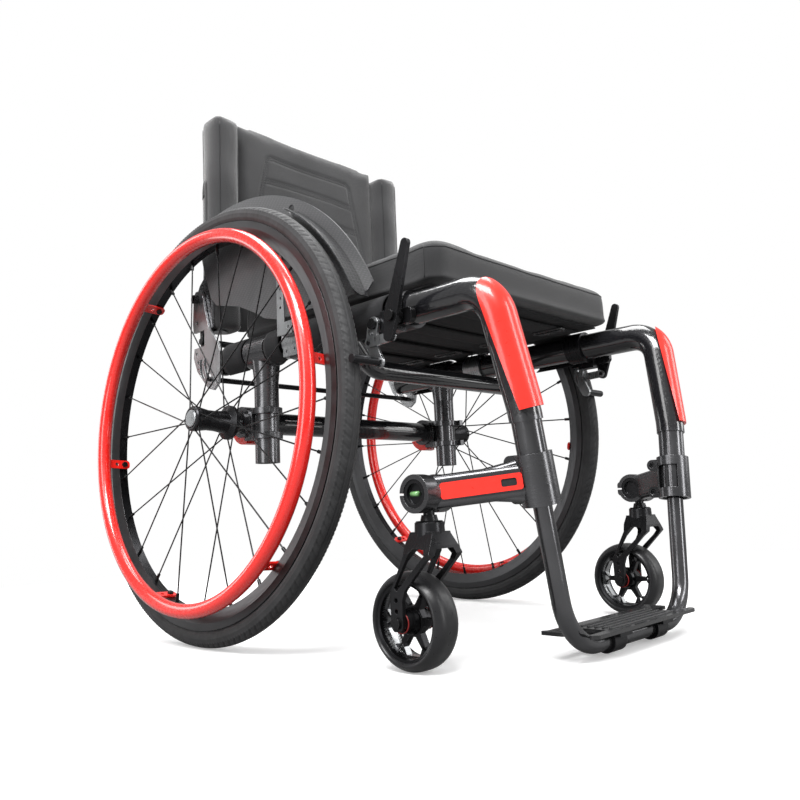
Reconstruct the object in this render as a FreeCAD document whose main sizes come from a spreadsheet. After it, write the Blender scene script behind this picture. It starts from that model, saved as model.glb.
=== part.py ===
"""A rigid-frame manual wheelchair with quick-release rear wheels, swivel casters and a folding back.

Frame: +Z up, the user faces -Y and +X is the user's left. The origin is on the floor, under the
middle of the chair's bounding box. Every length is in millimetres. Pieces are drawn with Y
measured from the rear axle line, and keep() then moves each of them on to the row frame.
"""
import FreeCAD, Part

import math
import os

import Sketcher
from FreeCAD import Placement, Rotation, Vector

DOC = FreeCAD.newDocument("Wheelchair")
X_AXIS = Vector(1, 0, 0)
Y_AXIS = Vector(0, 1, 0)
Z_AXIS = Vector(0, 0, 1)
SIDES = {"left": 1, "right": -1}
PARTS = {}

# ---------------------------------------------------------------- driving dimensions

DIMENSIONS = (
    ("axle_y", 96.5), ("tyre_radius", 298.0), ("tyre_half_width", 13.0),
    ("rim_outer", 272.0), ("rim_inner", 252.0),
    ("rim_half_width", 11.5), ("rim_wall", 1.6), ("wheel_offset", 257.0), ("camber", 3.0),
    ("handrim_radius", 250.5), ("handrim_tube", 9.5), ("handrim_offset", 32.0), ("handrim_wall", 2.0),
    ("hub_inner", 38.0), ("hub_outer", 30.0), ("hub_body", 14.0),
    ("inner_flange", 24.0), ("outer_flange", 17.0),
    ("bearing_outer", 12.95), ("bearing_width", 8.0), ("running_gap", 0.05),
    ("axle_radius", 6.35), ("plunger_radius", 3.0), ("button_radius", 12.0),
    ("axle_head_depth", 6.2), ("button_travel", 3.0),
    ("spoke_radius", 1.0), ("nipple_radius", 2.2), ("nipple_length", 12.0),
    ("tab_width", 13.0), ("tab_thick", 3.0),
    ("caster_radius", 50.8), ("caster_half_width", 18.0), ("caster_rim", 40.5),
    ("caster_x", 230.0), ("caster_y", -343.0), ("stem_y", -371.0), ("stem_radius", 6.0),
    ("barrel_z", 181.0), ("barrel_radius", 15.0), ("barrel_length", 44.0), ("barrel_clamp", 20.0),
    ("fork_gap", 21.0), ("fork_blade", 5.0), ("fork_crown", 15.5), ("fork_top", 153.0),
    ("caster_bolt", 4.0), ("caster_hub", 13.0),
    ("seat_x", 190.0), ("seat_z", 395.0), ("seat_rear", 62.0), ("seat_tube", 19.0), ("tube_wall", 2.2),
    ("knee_y", -437.0), ("knee_bend", 38.0), ("knee_tube", 18.4), ("shin_tube", 17.8), ("front_tube", 16.0),
    ("splay", 8.8), ("shin_y", -457.0), ("shin_z", 262.0), ("shin_bend", 200.0), ("front_end_z", 166.0),
    ("cover_gap", 0.4), ("cover_wall", 3.0), ("cover_turn", 20.0), ("cover_slope", 12.0),
    ("foot_tube", 10.0), ("foot_wall", 1.8), ("foot_y", -466.0), ("foot_z", 16.0),
    ("foot_bend", 58.0), ("foot_insert", 70.0),
    ("plate_thick", 4.0), ("plate_gap", 0.6), ("plate_front", -491.0), ("plate_rear", -427.0),
    ("plate_half", 119.0), ("plate_inside", 82.0), ("plate_clamp_x", 50.0),
    ("cross_y", -211.0), ("cross_z", 346.0), ("cross_tube", 12.5), ("cross_bend", 38.0),
    ("post_y", -39.0), ("post_radius", 17.0), ("post_bottom", 237.0), ("saddle_wall", 5.0),
    ("saddle_length", 46.0), ("axle_z", 297.6), ("camber_tube", 16.0), ("camber_tube_end", 211.0),
    ("clamp_wall", 6.0), ("clamp_length", 34.0), ("clamp_mid_z", 292.0), ("plug_length", 46.0),
    ("arm_clamp_height", 54.0), ("arm_clamp_wall", 4.2), ("arm_half_height", 17.5), ("arm_half_width", 12.0),
    ("sling_gap", 0.3), ("sling_thick", 2.5), ("sling_front", -352.0), ("sling_back", 42.0),
    ("cushion_half", 201.0), ("cushion_front", -376.0), ("cushion_back", 24.0), ("cushion_thick", 50.0),
    ("guard_x", 216.0), ("guard_thick", 2.5), ("guard_radius", 320.0),
    ("guard_lip", 24.0), ("lip_radius", 304.5),
    ("pivot_y", 104.0), ("pivot_z", 499.0), ("pivot_bolt", 4.0),
    ("bracket_x", 209.5), ("bracket_thick", 4.0),
    ("back_x", 188.0), ("back_y", 82.0), ("back_z", 446.0), ("back_top", 790.0), ("back_lean", 0.8),
    ("back_tube", 12.5), ("back_plate_x", 204.6), ("back_plate_thick", 4.0),
    ("panel_half", 154.0), ("panel_thick", 12.0), ("panel_top", 809.0),
    ("bolster_half", 207.5), ("bolster_depth", 58.0), ("bolster_top", 798.0),
    ("lock_bar", 5.0), ("lock_bar_y", 92.0), ("lock_bar_z", 431.0),
    ("strut_radius", 4.0), ("strut_y", 68.0), ("strut_z", 369.0),
    ("lever_y", -333.0), ("shoe_y", -295.5), ("brake_z", 380.0), ("brake_reach", 22.0), ("brake_offset", 5.0),
    ("brake_foot_y", -302.0), ("brake_foot_z", 333.0), ("foot_rod", 5.0), ("brake_pin", 3.0),
)

SHEET = DOC.addObject("Spreadsheet::Sheet", "Dims")
for row, (alias, size) in enumerate(DIMENSIONS, start=1):
    SHEET.set("A%d" % row, alias)
    SHEET.set("B%d" % row, str(size))
    SHEET.setAlias("B%d" % row, alias)
DOC.recompute()


def dim(alias):
    """The sheet's value for a dimension, for the shapes that Part's own functions make."""
    return float(SHEET.get(alias))


def value(expression):
    """The number that an expression over the sheet's aliases gives."""
    names = {alias: dim(alias) for alias, _ in DIMENSIONS}
    total = FreeCAD.Units.parseQuantity
    text = str(expression)
    for alias in sorted(names, key=len, reverse=True):
        text = text.replace("Dims." + alias, "(%.9f)" % names[alias])
    return float(total(text).Value)


# ---------------------------------------------------------------- helpers: sketches and features


def new_body(name):
    return DOC.addObject("PartDesign::Body", name)


def new_sketch(body, role, name):
    """A sketch on one of the body's own origin planes."""
    sketch = body.newObject("Sketcher::SketchObject", name)
    support = next(f for f in body.Origin.OriginFeatures if f.Role == role)
    sketch.AttachmentSupport = [(support, "")]
    sketch.MapMode = "FlatFace"
    return sketch


def bind(sketch, kind, geometry, point, expression):
    """Holds one coordinate of a sketch point at an expression over the sheet."""
    number = sketch.addConstraint(
        Sketcher.Constraint(kind, -1, 1, geometry, point, value(expression)))
    sketch.setExpression("Constraints[%d]" % number, str(expression))


def draw_outline(sketch, corners):
    """A closed outline of straight lines, each corner held at a pair of expressions."""
    start = sketch.GeometryCount
    points = [Vector(value(a), value(b), 0) for a, b in corners]
    count = len(points)
    for i in range(count):
        sketch.addGeometry(Part.LineSegment(points[i], points[(i + 1) % count]), False)
    for i in range(count):
        sketch.addConstraint(
            Sketcher.Constraint("Coincident", start + i, 2, start + (i + 1) % count, 1))
    for i, (a, b) in enumerate(corners):
        bind(sketch, "DistanceX", start + i, 1, a)
        bind(sketch, "DistanceY", start + i, 1, b)


def draw_circle(sketch, across, up, radius):
    number = sketch.GeometryCount
    centre = Vector(value(across), value(up), 0)
    sketch.addGeometry(Part.Circle(centre, Z_AXIS, value(radius)), False)
    bind(sketch, "DistanceX", number, 3, across)
    bind(sketch, "DistanceY", number, 3, up)
    held = sketch.addConstraint(Sketcher.Constraint("Radius", number, value(radius)))
    sketch.setExpression("Constraints[%d]" % held, str(radius))


def add_pad(body, sketch, length, name, symmetric=False, reverse=False):
    pad = body.newObject("PartDesign::Pad", name)
    pad.Profile = sketch
    pad.setExpression("Length", str(length))
    pad.SideType = "Symmetric" if symmetric else "One side"
    pad.Reversed = reverse
    return pad


def add_pocket(body, sketch, name, length=None):
    """A pocket centred on its sketch: right through, or as deep as its length says."""
    pocket = body.newObject("PartDesign::Pocket", name)
    pocket.Profile = sketch
    pocket.SideType = "Symmetric"
    if length is None:
        pocket.Type = "ThroughAll"
    else:
        pocket.setExpression("Length", str(length))
    return pocket


def add_revolution(body, sketch, name, axis="H_Axis"):
    turned = body.newObject("PartDesign::Revolution", name)
    turned.Profile = sketch
    turned.ReferenceAxis = (sketch, [axis])
    turned.Angle = 360
    return turned


def add_fillet(body, base, radius, wanted, name):
    """Rounds the edges of the base feature for which wanted(edge) is true."""
    DOC.recompute()
    edges = ["Edge%d" % (i + 1) for i, e in enumerate(base.Shape.Edges) if wanted(e)]
    fillet = body.newObject("PartDesign::Fillet", name)
    fillet.Base = (base, edges)
    fillet.setExpression("Radius", str(radius))
    return fillet


def runs_along(edge, axis):
    """True for a straight edge parallel to an axis."""
    if not isinstance(edge.Curve, Part.Line):
        return False
    return abs(edge.Curve.Direction.dot(axis)) > 0.999


def keep(node, obj, placement=Placement()):
    """Names a finished sub-part, and moves it from the axle line's frame to the row frame."""
    obj.Label = node
    obj.Placement = Placement(Vector(0, dim("axle_y"), 0), Rotation()).multiply(placement)
    PARTS[node] = obj
    return obj


def keep_shape(node, shape, placement=Placement()):
    """A sub-part whose shape is made with Part's own functions from the sheet's sizes."""
    feature = DOC.addObject("Part::Feature", node)
    feature.Shape = shape
    return keep(node, feature, placement)


def turned_body(name, outline, plane="XY_Plane", axis="H_Axis"):
    """A body turned about X from an outline of (along X, radius) corners."""
    body = new_body(name)
    sketch = new_sketch(body, plane, name + "_profile")
    draw_outline(sketch, outline)
    add_revolution(body, sketch, name + "_turned", axis)
    return body


# ---------------------------------------------------------------- helpers: solids


def rod(start, end, radius):
    """A round bar between two points."""
    axis = end - start
    return Part.makeCylinder(radius, axis.Length, start, axis)


def ring(centre, axis, outer, inner, length):
    """A round collar, centred on a point of its axis."""
    base = centre - axis * (length / 2)
    cut = Part.makeCylinder(inner, length + 2, base - axis, axis)
    return Part.makeCylinder(outer, length, base, axis).cut(cut)


def box(low, high):
    """A box between two opposite corners."""
    size = Vector(*high) - Vector(*low)
    return Part.makeBox(size.x, size.y, size.z, Vector(*low))


def circle_wire(centre, axis, radius):
    return Part.Wire([Part.makeCircle(radius, centre, axis)])


def bent_path(points, bends):
    """A wire of straight runs joined by tangent arcs, one bend radius for each inner corner."""
    edges = []
    here = points[0]
    for corner, after, radius in zip(points[1:-1], points[2:], bends):
        arriving = (corner - here).normalize()
        leaving = (after - corner).normalize()
        turn = arriving.getAngle(leaving)
        reach = radius * math.tan(turn / 2)
        first = corner - arriving * reach
        last = corner + leaving * reach
        inward = (leaving - arriving).normalize()
        middle = corner + inward * (radius / math.cos(turn / 2) - radius)
        edges.append(Part.makeLine(here, first))
        edges.append(Part.Arc(first, middle, last).toShape())
        here = last
    edges.append(Part.makeLine(here, points[-1]))
    return Part.Wire(edges)


def pipe(path, radius):
    """A round bar that follows a path."""
    start = path.OrderedEdges[0]
    direction = start.tangentAt(start.FirstParameter)
    profile = circle_wire(start.valueAt(start.FirstParameter), direction, radius)
    return path.makePipeShell([profile], True, False)


def hollow_pipe(path, radius, wall):
    return pipe(path, radius).cut(pipe(path, radius - wall))


def plate(outline, x_start, thickness, holes=()):
    """A flat plate across X from (y, z) corners, with round (y, z, radius) holes."""
    points = [Vector(x_start, y, z) for y, z in outline]
    face = Part.Face(Part.makePolygon(points + [points[0]]))
    solid = face.extrude(X_AXIS * thickness)
    for y, z, radius in holes:
        drill = Part.makeCylinder(radius, thickness + 4, Vector(x_start - 2, y, z), X_AXIS)
        solid = solid.cut(drill)
    return solid


def link_plate(first, second, first_radius, second_radius, x_start, thickness):
    """A flat link with round ends about two (y, z) points."""
    a = Vector(x_start, *first)
    b = Vector(x_start, *second)
    along = (b - a).normalize()
    across = along.cross(X_AXIS)
    points = [a + across * first_radius, b + across * second_radius,
              b - across * second_radius, a - across * first_radius]
    web = Part.Face(Part.makePolygon(points + [points[0]])).extrude(X_AXIS * thickness)
    first_end = Part.makeCylinder(first_radius, thickness, a, X_AXIS)
    second_end = Part.makeCylinder(second_radius, thickness, b, X_AXIS)
    return web.fuse([first_end, second_end]).removeSplitter()


def round_edges(shape, radius, wanted):
    """Fillets the edges of a plain shape for which wanted(edge) is true."""
    return shape.makeFillet(radius, [e for e in shape.Edges if wanted(e)])


def mirrored(shape):
    """The same shape on the other side of the chair."""
    return shape.mirror(Vector(0, 0, 0), X_AXIS)


def both_sides(shape):
    """A piece and its mirror twin, as one group of separate solids."""
    return Part.makeCompound([shape, mirrored(shape)])


def on_side(shape, side):
    """A piece drawn for the left side, placed on the side that is asked for."""
    return shape if SIDES[side] > 0 else mirrored(shape)


# ---------------------------------------------------------------- rear wheels


def wheel_place(side):
    """Carries a wheel drawn about the origin, with +X outboard, to its cambered axle."""
    sign = SIDES[side]
    tilt = Rotation(Y_AXIS, -sign * dim("camber"))
    facing = Rotation() if sign > 0 else Rotation(Z_AXIS, 180)
    centre = Vector(sign * dim("wheel_offset"), 0, dim("axle_z"))
    return Placement(centre, tilt.multiply(facing))


def rear_tyre(side):
    body = new_body("Tyre_" + side)
    sketch = new_sketch(body, "XY_Plane", "Tyre_profile_" + side)
    seat = dim("rim_outer") + 0.5
    shoulder = seat + 4
    half = dim("rim_half_width") - 2
    crown = Vector(0, dim("tyre_radius"), 0)
    wide = Vector(dim("tyre_half_width"), dim("tyre_radius") - 13.5, 0)
    near = Vector(half, shoulder, 0)
    flip = lambda p: Vector(-p.x, p.y, 0)
    sketch.addGeometry(Part.LineSegment(Vector(-half, seat, 0), Vector(half, seat, 0)), False)
    sketch.addGeometry(Part.LineSegment(Vector(half, seat, 0), near), False)
    curve = Part.BSplineCurve()
    crown_side = Vector(7.5, dim("tyre_radius") - 2.4, 0)
    curve.interpolate([near, wide, crown_side, crown, flip(crown_side), flip(wide), flip(near)])
    sketch.addGeometry(curve, False)
    sketch.addGeometry(Part.LineSegment(flip(near), Vector(-half, seat, 0)), False)
    add_revolution(body, sketch, "Tyre_turned_" + side)
    return keep("rear_tyre_" + side, body, wheel_place(side))


def rear_rim(side):
    """A box-section rim with a bead lip on each side and a hollow inside."""
    lip = "Dims.rim_half_width"
    inner_lip = "Dims.rim_half_width - 1.5"
    outline = [
        ("-" + lip, "Dims.rim_outer + 4"), ("-(%s)" % inner_lip, "Dims.rim_outer + 4"),
        ("-(%s)" % inner_lip, "Dims.rim_outer"), (inner_lip, "Dims.rim_outer"),
        (inner_lip, "Dims.rim_outer + 4"), (lip, "Dims.rim_outer + 4"),
        (lip, "Dims.rim_outer - 5"), ("6.5", "Dims.rim_inner"), ("-6.5", "Dims.rim_inner"),
        ("-" + lip, "Dims.rim_outer - 5"),
    ]
    hollow = [
        ("-(Dims.rim_half_width - 3)", "Dims.rim_outer - Dims.rim_wall"),
        ("Dims.rim_half_width - 3", "Dims.rim_outer - Dims.rim_wall"),
        ("Dims.rim_half_width - 2.2", "Dims.rim_outer - 6"),
        ("5", "Dims.rim_inner + Dims.rim_wall + 0.6"), ("-5", "Dims.rim_inner + Dims.rim_wall + 0.6"),
        ("-(Dims.rim_half_width - 2.2)", "Dims.rim_outer - 6"),
    ]
    body = new_body("Rim_" + side)
    sketch = new_sketch(body, "XY_Plane", "Rim_profile_" + side)
    draw_outline(sketch, outline)
    draw_outline(sketch, hollow)
    add_revolution(body, sketch, "Rim_turned_" + side)
    return keep("rear_rim_" + side, body, wheel_place(side))


def rear_hub(side):
    """A turned hub shell: small outer flange, large inner flange and a bearing seat at each end."""
    seat = "Dims.bearing_outer + Dims.running_gap"
    bore = "Dims.axle_radius + 2"
    inner_seat = "-Dims.hub_inner + Dims.bearing_width"
    outer_seat = "Dims.hub_outer - Dims.bearing_width - 9"
    outline = [
        ("-Dims.hub_inner", seat), ("-Dims.hub_inner", "Dims.hub_body + 2"),
        ("-Dims.hub_inner + 4", "Dims.hub_body + 4"), ("-Dims.hub_inner + 6", "Dims.inner_flange"),
        ("-Dims.hub_inner + 11", "Dims.inner_flange"), ("-Dims.hub_inner + 15", "Dims.hub_body + 2"),
        ("-6", "Dims.hub_body"), ("6", "Dims.hub_body"),
        ("Dims.hub_outer - 12", "Dims.outer_flange - 1"), ("Dims.hub_outer - 8", "Dims.outer_flange"),
        ("Dims.hub_outer - 2", "Dims.outer_flange"), ("Dims.hub_outer", "Dims.outer_flange - 1.5"),
        ("Dims.hub_outer", seat), (outer_seat, seat), (outer_seat, bore), (inner_seat, bore),
        (inner_seat, seat),
    ]
    return keep("rear_hub_" + side, turned_body("Hub_" + side, outline), wheel_place(side))


def hub_bearings(side):
    """Two bearings that run on the quick-release axle."""
    inner = dim("axle_radius") + dim("running_gap")
    width = dim("bearing_width")
    spots = (-dim("hub_inner") + width / 2, dim("hub_outer") - width / 2 - 9)
    rings = [ring(Vector(x, 0, 0), X_AXIS, dim("bearing_outer"), inner, width - 0.2) for x in spots]
    return keep_shape("hub_bearings_" + side, Part.makeCompound(rings), wheel_place(side))


SPOKES = 24
SPOKE_CROSS = math.radians(34)


def spokes(side):
    """Tangent-laced spokes with their nipples: every second spoke goes to the inner flange."""
    wires = []
    for i in range(SPOKES):
        inner = i % 2 == 0
        rim_angle = 2 * math.pi * i / SPOKES
        lean = SPOKE_CROSS if (i // 2) % 2 else -SPOKE_CROSS
        hub_x = -dim("hub_inner") + 8.5 if inner else dim("hub_outer") - 5
        hub_radius = dim("inner_flange") - 2.5 if inner else dim("outer_flange") - 1.5
        hub_angle = rim_angle + lean
        hub_end = Vector(hub_x, hub_radius * math.cos(hub_angle), hub_radius * math.sin(hub_angle))
        reach = dim("rim_inner") + 1
        rim_end = Vector(0, reach * math.cos(rim_angle), reach * math.sin(rim_angle))
        back = (hub_end - rim_end).normalize()
        nipple = rod(rim_end, rim_end + back * dim("nipple_length"), dim("nipple_radius"))
        wires.append(rod(hub_end, rim_end + back * 2, dim("spoke_radius")).fuse(nipple))
    return keep_shape("spokes_" + side, Part.makeCompound(wires), wheel_place(side))


def handrim(side):
    """A hollow round push rim, turned from its upright axis to the wheel's own axis."""
    tubes = []
    for name, thinner in (("Handrim_outer_", ""), ("Handrim_bore_", " - Dims.handrim_wall")):
        tube = DOC.addObject("Part::Torus", name + side)
        tube.setExpression("Radius1", "Dims.handrim_radius")
        tube.setExpression("Radius2", "Dims.handrim_tube" + thinner)
        tubes.append(tube)
    torus = DOC.addObject("Part::Cut", "Handrim_" + side)
    torus.Base, torus.Tool = tubes
    lying = Placement(Vector(dim("handrim_offset"), 0, 0), Rotation(Y_AXIS, 90))
    return keep("handrim_" + side, torus, wheel_place(side).multiply(lying))


TABS = 6


def handrim_tabs(side):
    """Flat tabs from the hand rim in to the rim, each with a screw hole and its screw."""
    pieces = []
    top = dim("rim_inner") - 0.6
    inner_end = -9
    outer_end = dim("handrim_offset") - dim("handrim_tube") + 1.5
    half = dim("tab_width") / 2
    for i in range(TABS):
        turn = Rotation(X_AXIS, 360.0 * i / TABS + 40)
        tab = box((inner_end, -half, top - dim("tab_thick")), (outer_end, half, top))
        tab = round_edges(tab, 5, lambda e: runs_along(e, Z_AXIS) and e.Curve.Location.x < 0)
        tab = tab.cut(Part.makeCylinder(2.05, 12, Vector(0, 0, top - 8), Z_AXIS))
        slot = Part.makeCylinder(2.6, 12, Vector(12, 0, top - 8), Z_AXIS)
        screw_head = Part.makeCylinder(4, 3, Vector(0, 0, top - dim("tab_thick") - 3), Z_AXIS)
        screw = Part.makeCylinder(2, 9, Vector(0, 0, top - dim("tab_thick")), Z_AXIS).fuse(screw_head)
        for piece in (tab.cut(slot), screw):
            piece.Placement = Placement(Vector(), turn)
            pieces.append(piece)
    return keep_shape("handrim_tabs_" + side, Part.makeCompound(pieces), wheel_place(side))


def release_button(side):
    """The push button and plunger that free the quick-release axle."""
    head = "Dims.hub_outer - Dims.axle_head_depth + Dims.button_travel + 0.4"
    outline = [
        ("4", "0"), ("4", "Dims.plunger_radius"),
        (head, "Dims.plunger_radius"), (head, "Dims.button_radius"),
        ("Dims.hub_outer + 0.4", "Dims.button_radius"),
        ("Dims.hub_outer + 1.4", "Dims.button_radius - 1.2"), ("Dims.hub_outer + 1.4", "0"),
    ]
    return keep("release_button_" + side, turned_body("Button_" + side, outline), wheel_place(side))


def quick_release_axles():
    """The two hollow axles: fixed in the camber plugs, with a head outside the hub."""
    bore = dim("plunger_radius") + dim("running_gap")
    shafts = []
    for side in SIDES:
        start = -dim("hub_inner") - dim("plug_length") + 4
        head = dim("hub_outer") - dim("axle_head_depth")
        shaft = Part.makeCylinder(dim("axle_radius"), head - start, Vector(start, 0, 0), X_AXIS)
        cap = Part.makeCylinder(dim("button_radius") - 2, 2.4, Vector(head - 2.4, 0, 0), X_AXIS)
        hole = Part.makeCylinder(bore, 60, Vector(-2, 0, 0), X_AXIS)
        axle = shaft.fuse(cap).cut(hole).removeSplitter()
        axle.Placement = wheel_place(side)
        shafts.append(axle)
    return keep_shape("quick_release_axles", Part.makeCompound(shafts))


# ---------------------------------------------------------------- frame tubes


def side_drop(height):
    """The distance below the seat line, along the leaning side plane, of a height above the floor."""
    return (dim("seat_z") - height) / math.cos(math.radians(dim("splay")))


def knee_point():
    """Where the centre lines of the seat tube and the front tube cross, in the side plane."""
    return Vector(0, dim("knee_y"), 0)


def shin_point():
    """Where the front tube straightens below the knee cover."""
    return Vector(0, dim("shin_y"), -side_drop(dim("shin_z")))


def foot_point():
    """The corner of the footrest tube's centre line, before its bend."""
    return Vector(0, dim("foot_y"), -side_drop(dim("foot_z")))


def front_direction():
    """The lower front tube's direction in the side plane."""
    return (foot_point() - shin_point()).normalize()


def front_point(height):
    """The point of the lower front tube's centre line at a height above the floor."""
    share = (dim("shin_z") - height) / (dim("shin_z") - dim("foot_z"))
    return shin_point() + (foot_point() - shin_point()) * share


def side_place():
    """Carries the side plane to the left side of the chair, leaning in by the splay."""
    return Placement(Vector(dim("seat_x"), 0, dim("seat_z")), Rotation(Y_AXIS, dim("splay")))


def side_spine():
    """The side frame's centre line, from its rear end round the knee to its lower end."""
    points = [Vector(0, dim("seat_rear"), 0), knee_point(), shin_point(), front_point(dim("front_end_z"))]
    return bent_path(points, [dim("knee_bend"), dim("shin_bend")])


def side_tube(seat, knee, shin_size, front):
    """The side frame as a solid bar: seat rail, knee, shin and the thinner tube stepped out of it."""
    run, knee_arc, shin, shin_arc, leg = side_spine().OrderedEdges
    rear = run.valueAt(run.FirstParameter)
    break_at = Vector(0, -332, 0)
    forward = Vector(0, -1, 0)
    shin_way = (shin_point() - knee_point()).normalize()
    below = leg.valueAt(leg.FirstParameter)
    bottom = leg.valueAt(leg.LastParameter)
    spine = Part.Wire([
        Part.makeLine(break_at, run.valueAt(run.LastParameter)), knee_arc, shin, shin_arc,
    ])
    sections = [
        (break_at, forward, seat), (run.valueAt(run.LastParameter), forward, knee + 0.3),
        (shin.valueAt(shin.FirstParameter), shin_way, knee),
        (shin.valueAt(shin.LastParameter), shin_way, shin_size + 0.1), (below, front_direction(), shin_size),
    ]
    knee_bar = spine.makePipeShell([circle_wire(*section) for section in sections], True, False)
    return knee_bar.fuse([rod(rear, break_at, seat), rod(below, bottom, front)]).removeSplitter()


def outer_sizes(grow=0.0):
    """The side tube's radii at the seat, the knee, the shin and the front tube."""
    sizes = (dim("seat_tube"), dim("knee_tube"), dim("shin_tube"), dim("front_tube"))
    return [size + grow for size in sizes]


def side_frame():
    """One carbon side tube: seat rail, knee and front tube in one piece, hollow throughout."""
    wall = dim("tube_wall")
    bore = dim("foot_tube") + dim("running_gap")
    inner = side_tube(dim("seat_tube") - wall, dim("knee_tube") - wall, dim("shin_tube") - wall, bore)
    solid = side_tube(*outer_sizes()).cut(inner)
    solid.Placement = side_place()
    return solid


def knee_cover():
    """The coloured shell on the outer front of the knee and the upper front tube."""
    gap = dim("cover_gap")
    wall = dim("cover_wall")
    shell = side_tube(*outer_sizes(gap + wall)).cut(side_tube(*outer_sizes(gap)))
    start = knee_point()
    down = (shin_point() - start).normalize()
    length = (shin_point() - start).Length
    block = box((-40, -60, 0), (40, 60, length + 40))
    block.Placement = Placement(start - down * 40, Rotation(Z_AXIS, down))
    front = Part.makeBox(160, 60, 400, Vector(-80, -60, -360))
    turned = Rotation(Z_AXIS, dim("cover_turn")).multiply(Rotation(X_AXIS, -dim("cover_slope")))
    front.Placement = Placement(start + Vector(0, 9, 60), turned)
    shell = shell.common(block).common(front)
    shell = max(shell.Solids, key=lambda s: s.Volume)
    shell.Placement = side_place()
    return shell


def footrest_tube():
    """A U-shaped tube that telescopes into both front tubes."""
    corner = side_place().multVec(foot_point())
    top = side_place().multVec(front_point(dim("front_end_z")))
    along = (corner - top).normalize()
    start = top - along * dim("foot_insert")
    other = Vector(-corner.x, corner.y, corner.z)
    finish = Vector(-start.x, start.y, start.z)
    bend = dim("foot_bend")
    path = bent_path([start, corner, other, finish], [bend, bend])
    return keep_shape("footrest_tube", hollow_pipe(path, dim("foot_tube"), dim("foot_wall")))


def cross_tube():
    """The seat cross member: a tube that turns up at both ends and is coped to the side tubes."""
    y = dim("cross_y")
    z = dim("cross_z")
    top = Vector(dim("seat_x") - 4, y, dim("seat_z") - 8)
    corner = Vector(148, y, z)
    points = [top, corner, Vector(-corner.x, y, z), Vector(-top.x, y, top.z)]
    path = bent_path(points, [dim("cross_bend")] * 2)
    tube = hollow_pipe(path, dim("cross_tube"), dim("tube_wall"))
    for sign in SIDES.values():
        start = Vector(sign * dim("seat_x"), y - 40, dim("seat_z"))
        tube = tube.cut(Part.makeCylinder(dim("seat_tube") + 0.05, 80, start, Y_AXIS))
    tube = max(tube.Solids, key=lambda s: s.Volume)
    return keep_shape("cross_tube", tube)


def rear_strut():
    """The thin strut between the two back brackets."""
    x = dim("bracket_x") - 0.1
    bar = DOC.addObject("Part::Cylinder", "Rear_strut")
    bar.setExpression("Radius", "Dims.strut_radius")
    bar.Height = 2 * x
    place = Placement(Vector(-x, dim("strut_y"), dim("strut_z")), Rotation(Y_AXIS, 90))
    return keep("rear_strut", bar, place)


# ---------------------------------------------------------------- axle carriers


def axle_post():
    """A casting that clamps round the side tube and carries the height-adjustable post."""
    centre = Vector(dim("seat_x"), dim("post_y"), dim("seat_z"))
    inner = dim("seat_tube") + 0.05
    outer = dim("seat_tube") + dim("saddle_wall")
    post = Part.makeCylinder(dim("post_radius"), dim("seat_z") - 8 - dim("post_bottom"),
                             Vector(centre.x, centre.y, dim("post_bottom")), Z_AXIS)
    cone_top = dim("seat_z") - 4
    flare = Part.makeCone(dim("post_radius"), dim("post_radius") + 4, 42,
                          Vector(centre.x, centre.y, cone_top - 42), Z_AXIS)
    saddle = ring(centre, Y_AXIS, outer, inner, dim("saddle_length"))
    body = post.fuse([flare, saddle])
    start = Vector(centre.x, centre.y - 40, centre.z)
    body = body.cut(Part.makeCylinder(inner, 80, start, Y_AXIS))
    hollow = Part.makeCylinder(dim("post_radius") - 3, 100,
                               Vector(centre.x, centre.y, dim("post_bottom") - 1), Z_AXIS)
    return body.cut(hollow).removeSplitter()


def camber_clamp():
    """A clamp with two bands round the post and a housing for the camber tube."""
    x = dim("seat_x")
    y = dim("post_y")
    z = dim("axle_z")
    length = dim("clamp_length")
    low = x - length / 2
    gap = 0.05
    housing = Part.makeCylinder(dim("camber_tube") + dim("clamp_wall"), length, Vector(low, 0, z), X_AXIS)
    middle = dim("clamp_mid_z")
    bands = Part.makeCylinder(dim("post_radius") + 4.5, 43, Vector(x, y, middle - 21.5), Z_AXIS)
    web = box((x - 14, y, middle - 21.5), (x + 14, -4, middle + 21.5))
    ears = box((x + 8, y - 28, middle - 21.5), (x + 16, y - 8, middle + 21.5))
    body = housing.fuse([bands, web, ears])
    body = body.cut(box((x - 40, y - 40, middle - 13), (x + 40, y + 12, middle + 13)))
    body = body.cut(Part.makeCylinder(dim("post_radius") + gap, 80, Vector(x, y, z - 40), Z_AXIS))
    body = body.cut(Part.makeCylinder(dim("camber_tube") + gap, 80, Vector(low - 20, 0, z), X_AXIS))
    return body.removeSplitter()


def clamp_cap():
    """The coloured cap strip under the camber tube's housing."""
    x = dim("seat_x")
    z = dim("axle_z")
    inner = dim("camber_tube") + dim("clamp_wall") + 0.1
    band = ring(Vector(x, 4, z), X_AXIS, inner + 9, inner - 1, 20)
    band = band.cut(Part.makeCylinder(inner, 60, Vector(x - 30, 0, z), X_AXIS))
    keep_box = box((x - 20, -3.5, z - 40), (x + 20, 40, z - 13))
    return band.common(keep_box)


def camber_tube():
    """The straight tube that joins both axles; its ends are stopped by the camber plugs."""
    body = new_body("Camber_tube")
    sketch = new_sketch(body, "YZ_Plane", "Camber_tube_section")
    draw_circle(sketch, "0", "Dims.axle_z", "Dims.camber_tube")
    draw_circle(sketch, "0", "Dims.axle_z", "Dims.camber_tube - Dims.tube_wall")
    add_pad(body, sketch, "2 * Dims.camber_tube_end", "Camber_tube_pad", symmetric=True)
    return keep("camber_tube", body)


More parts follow.
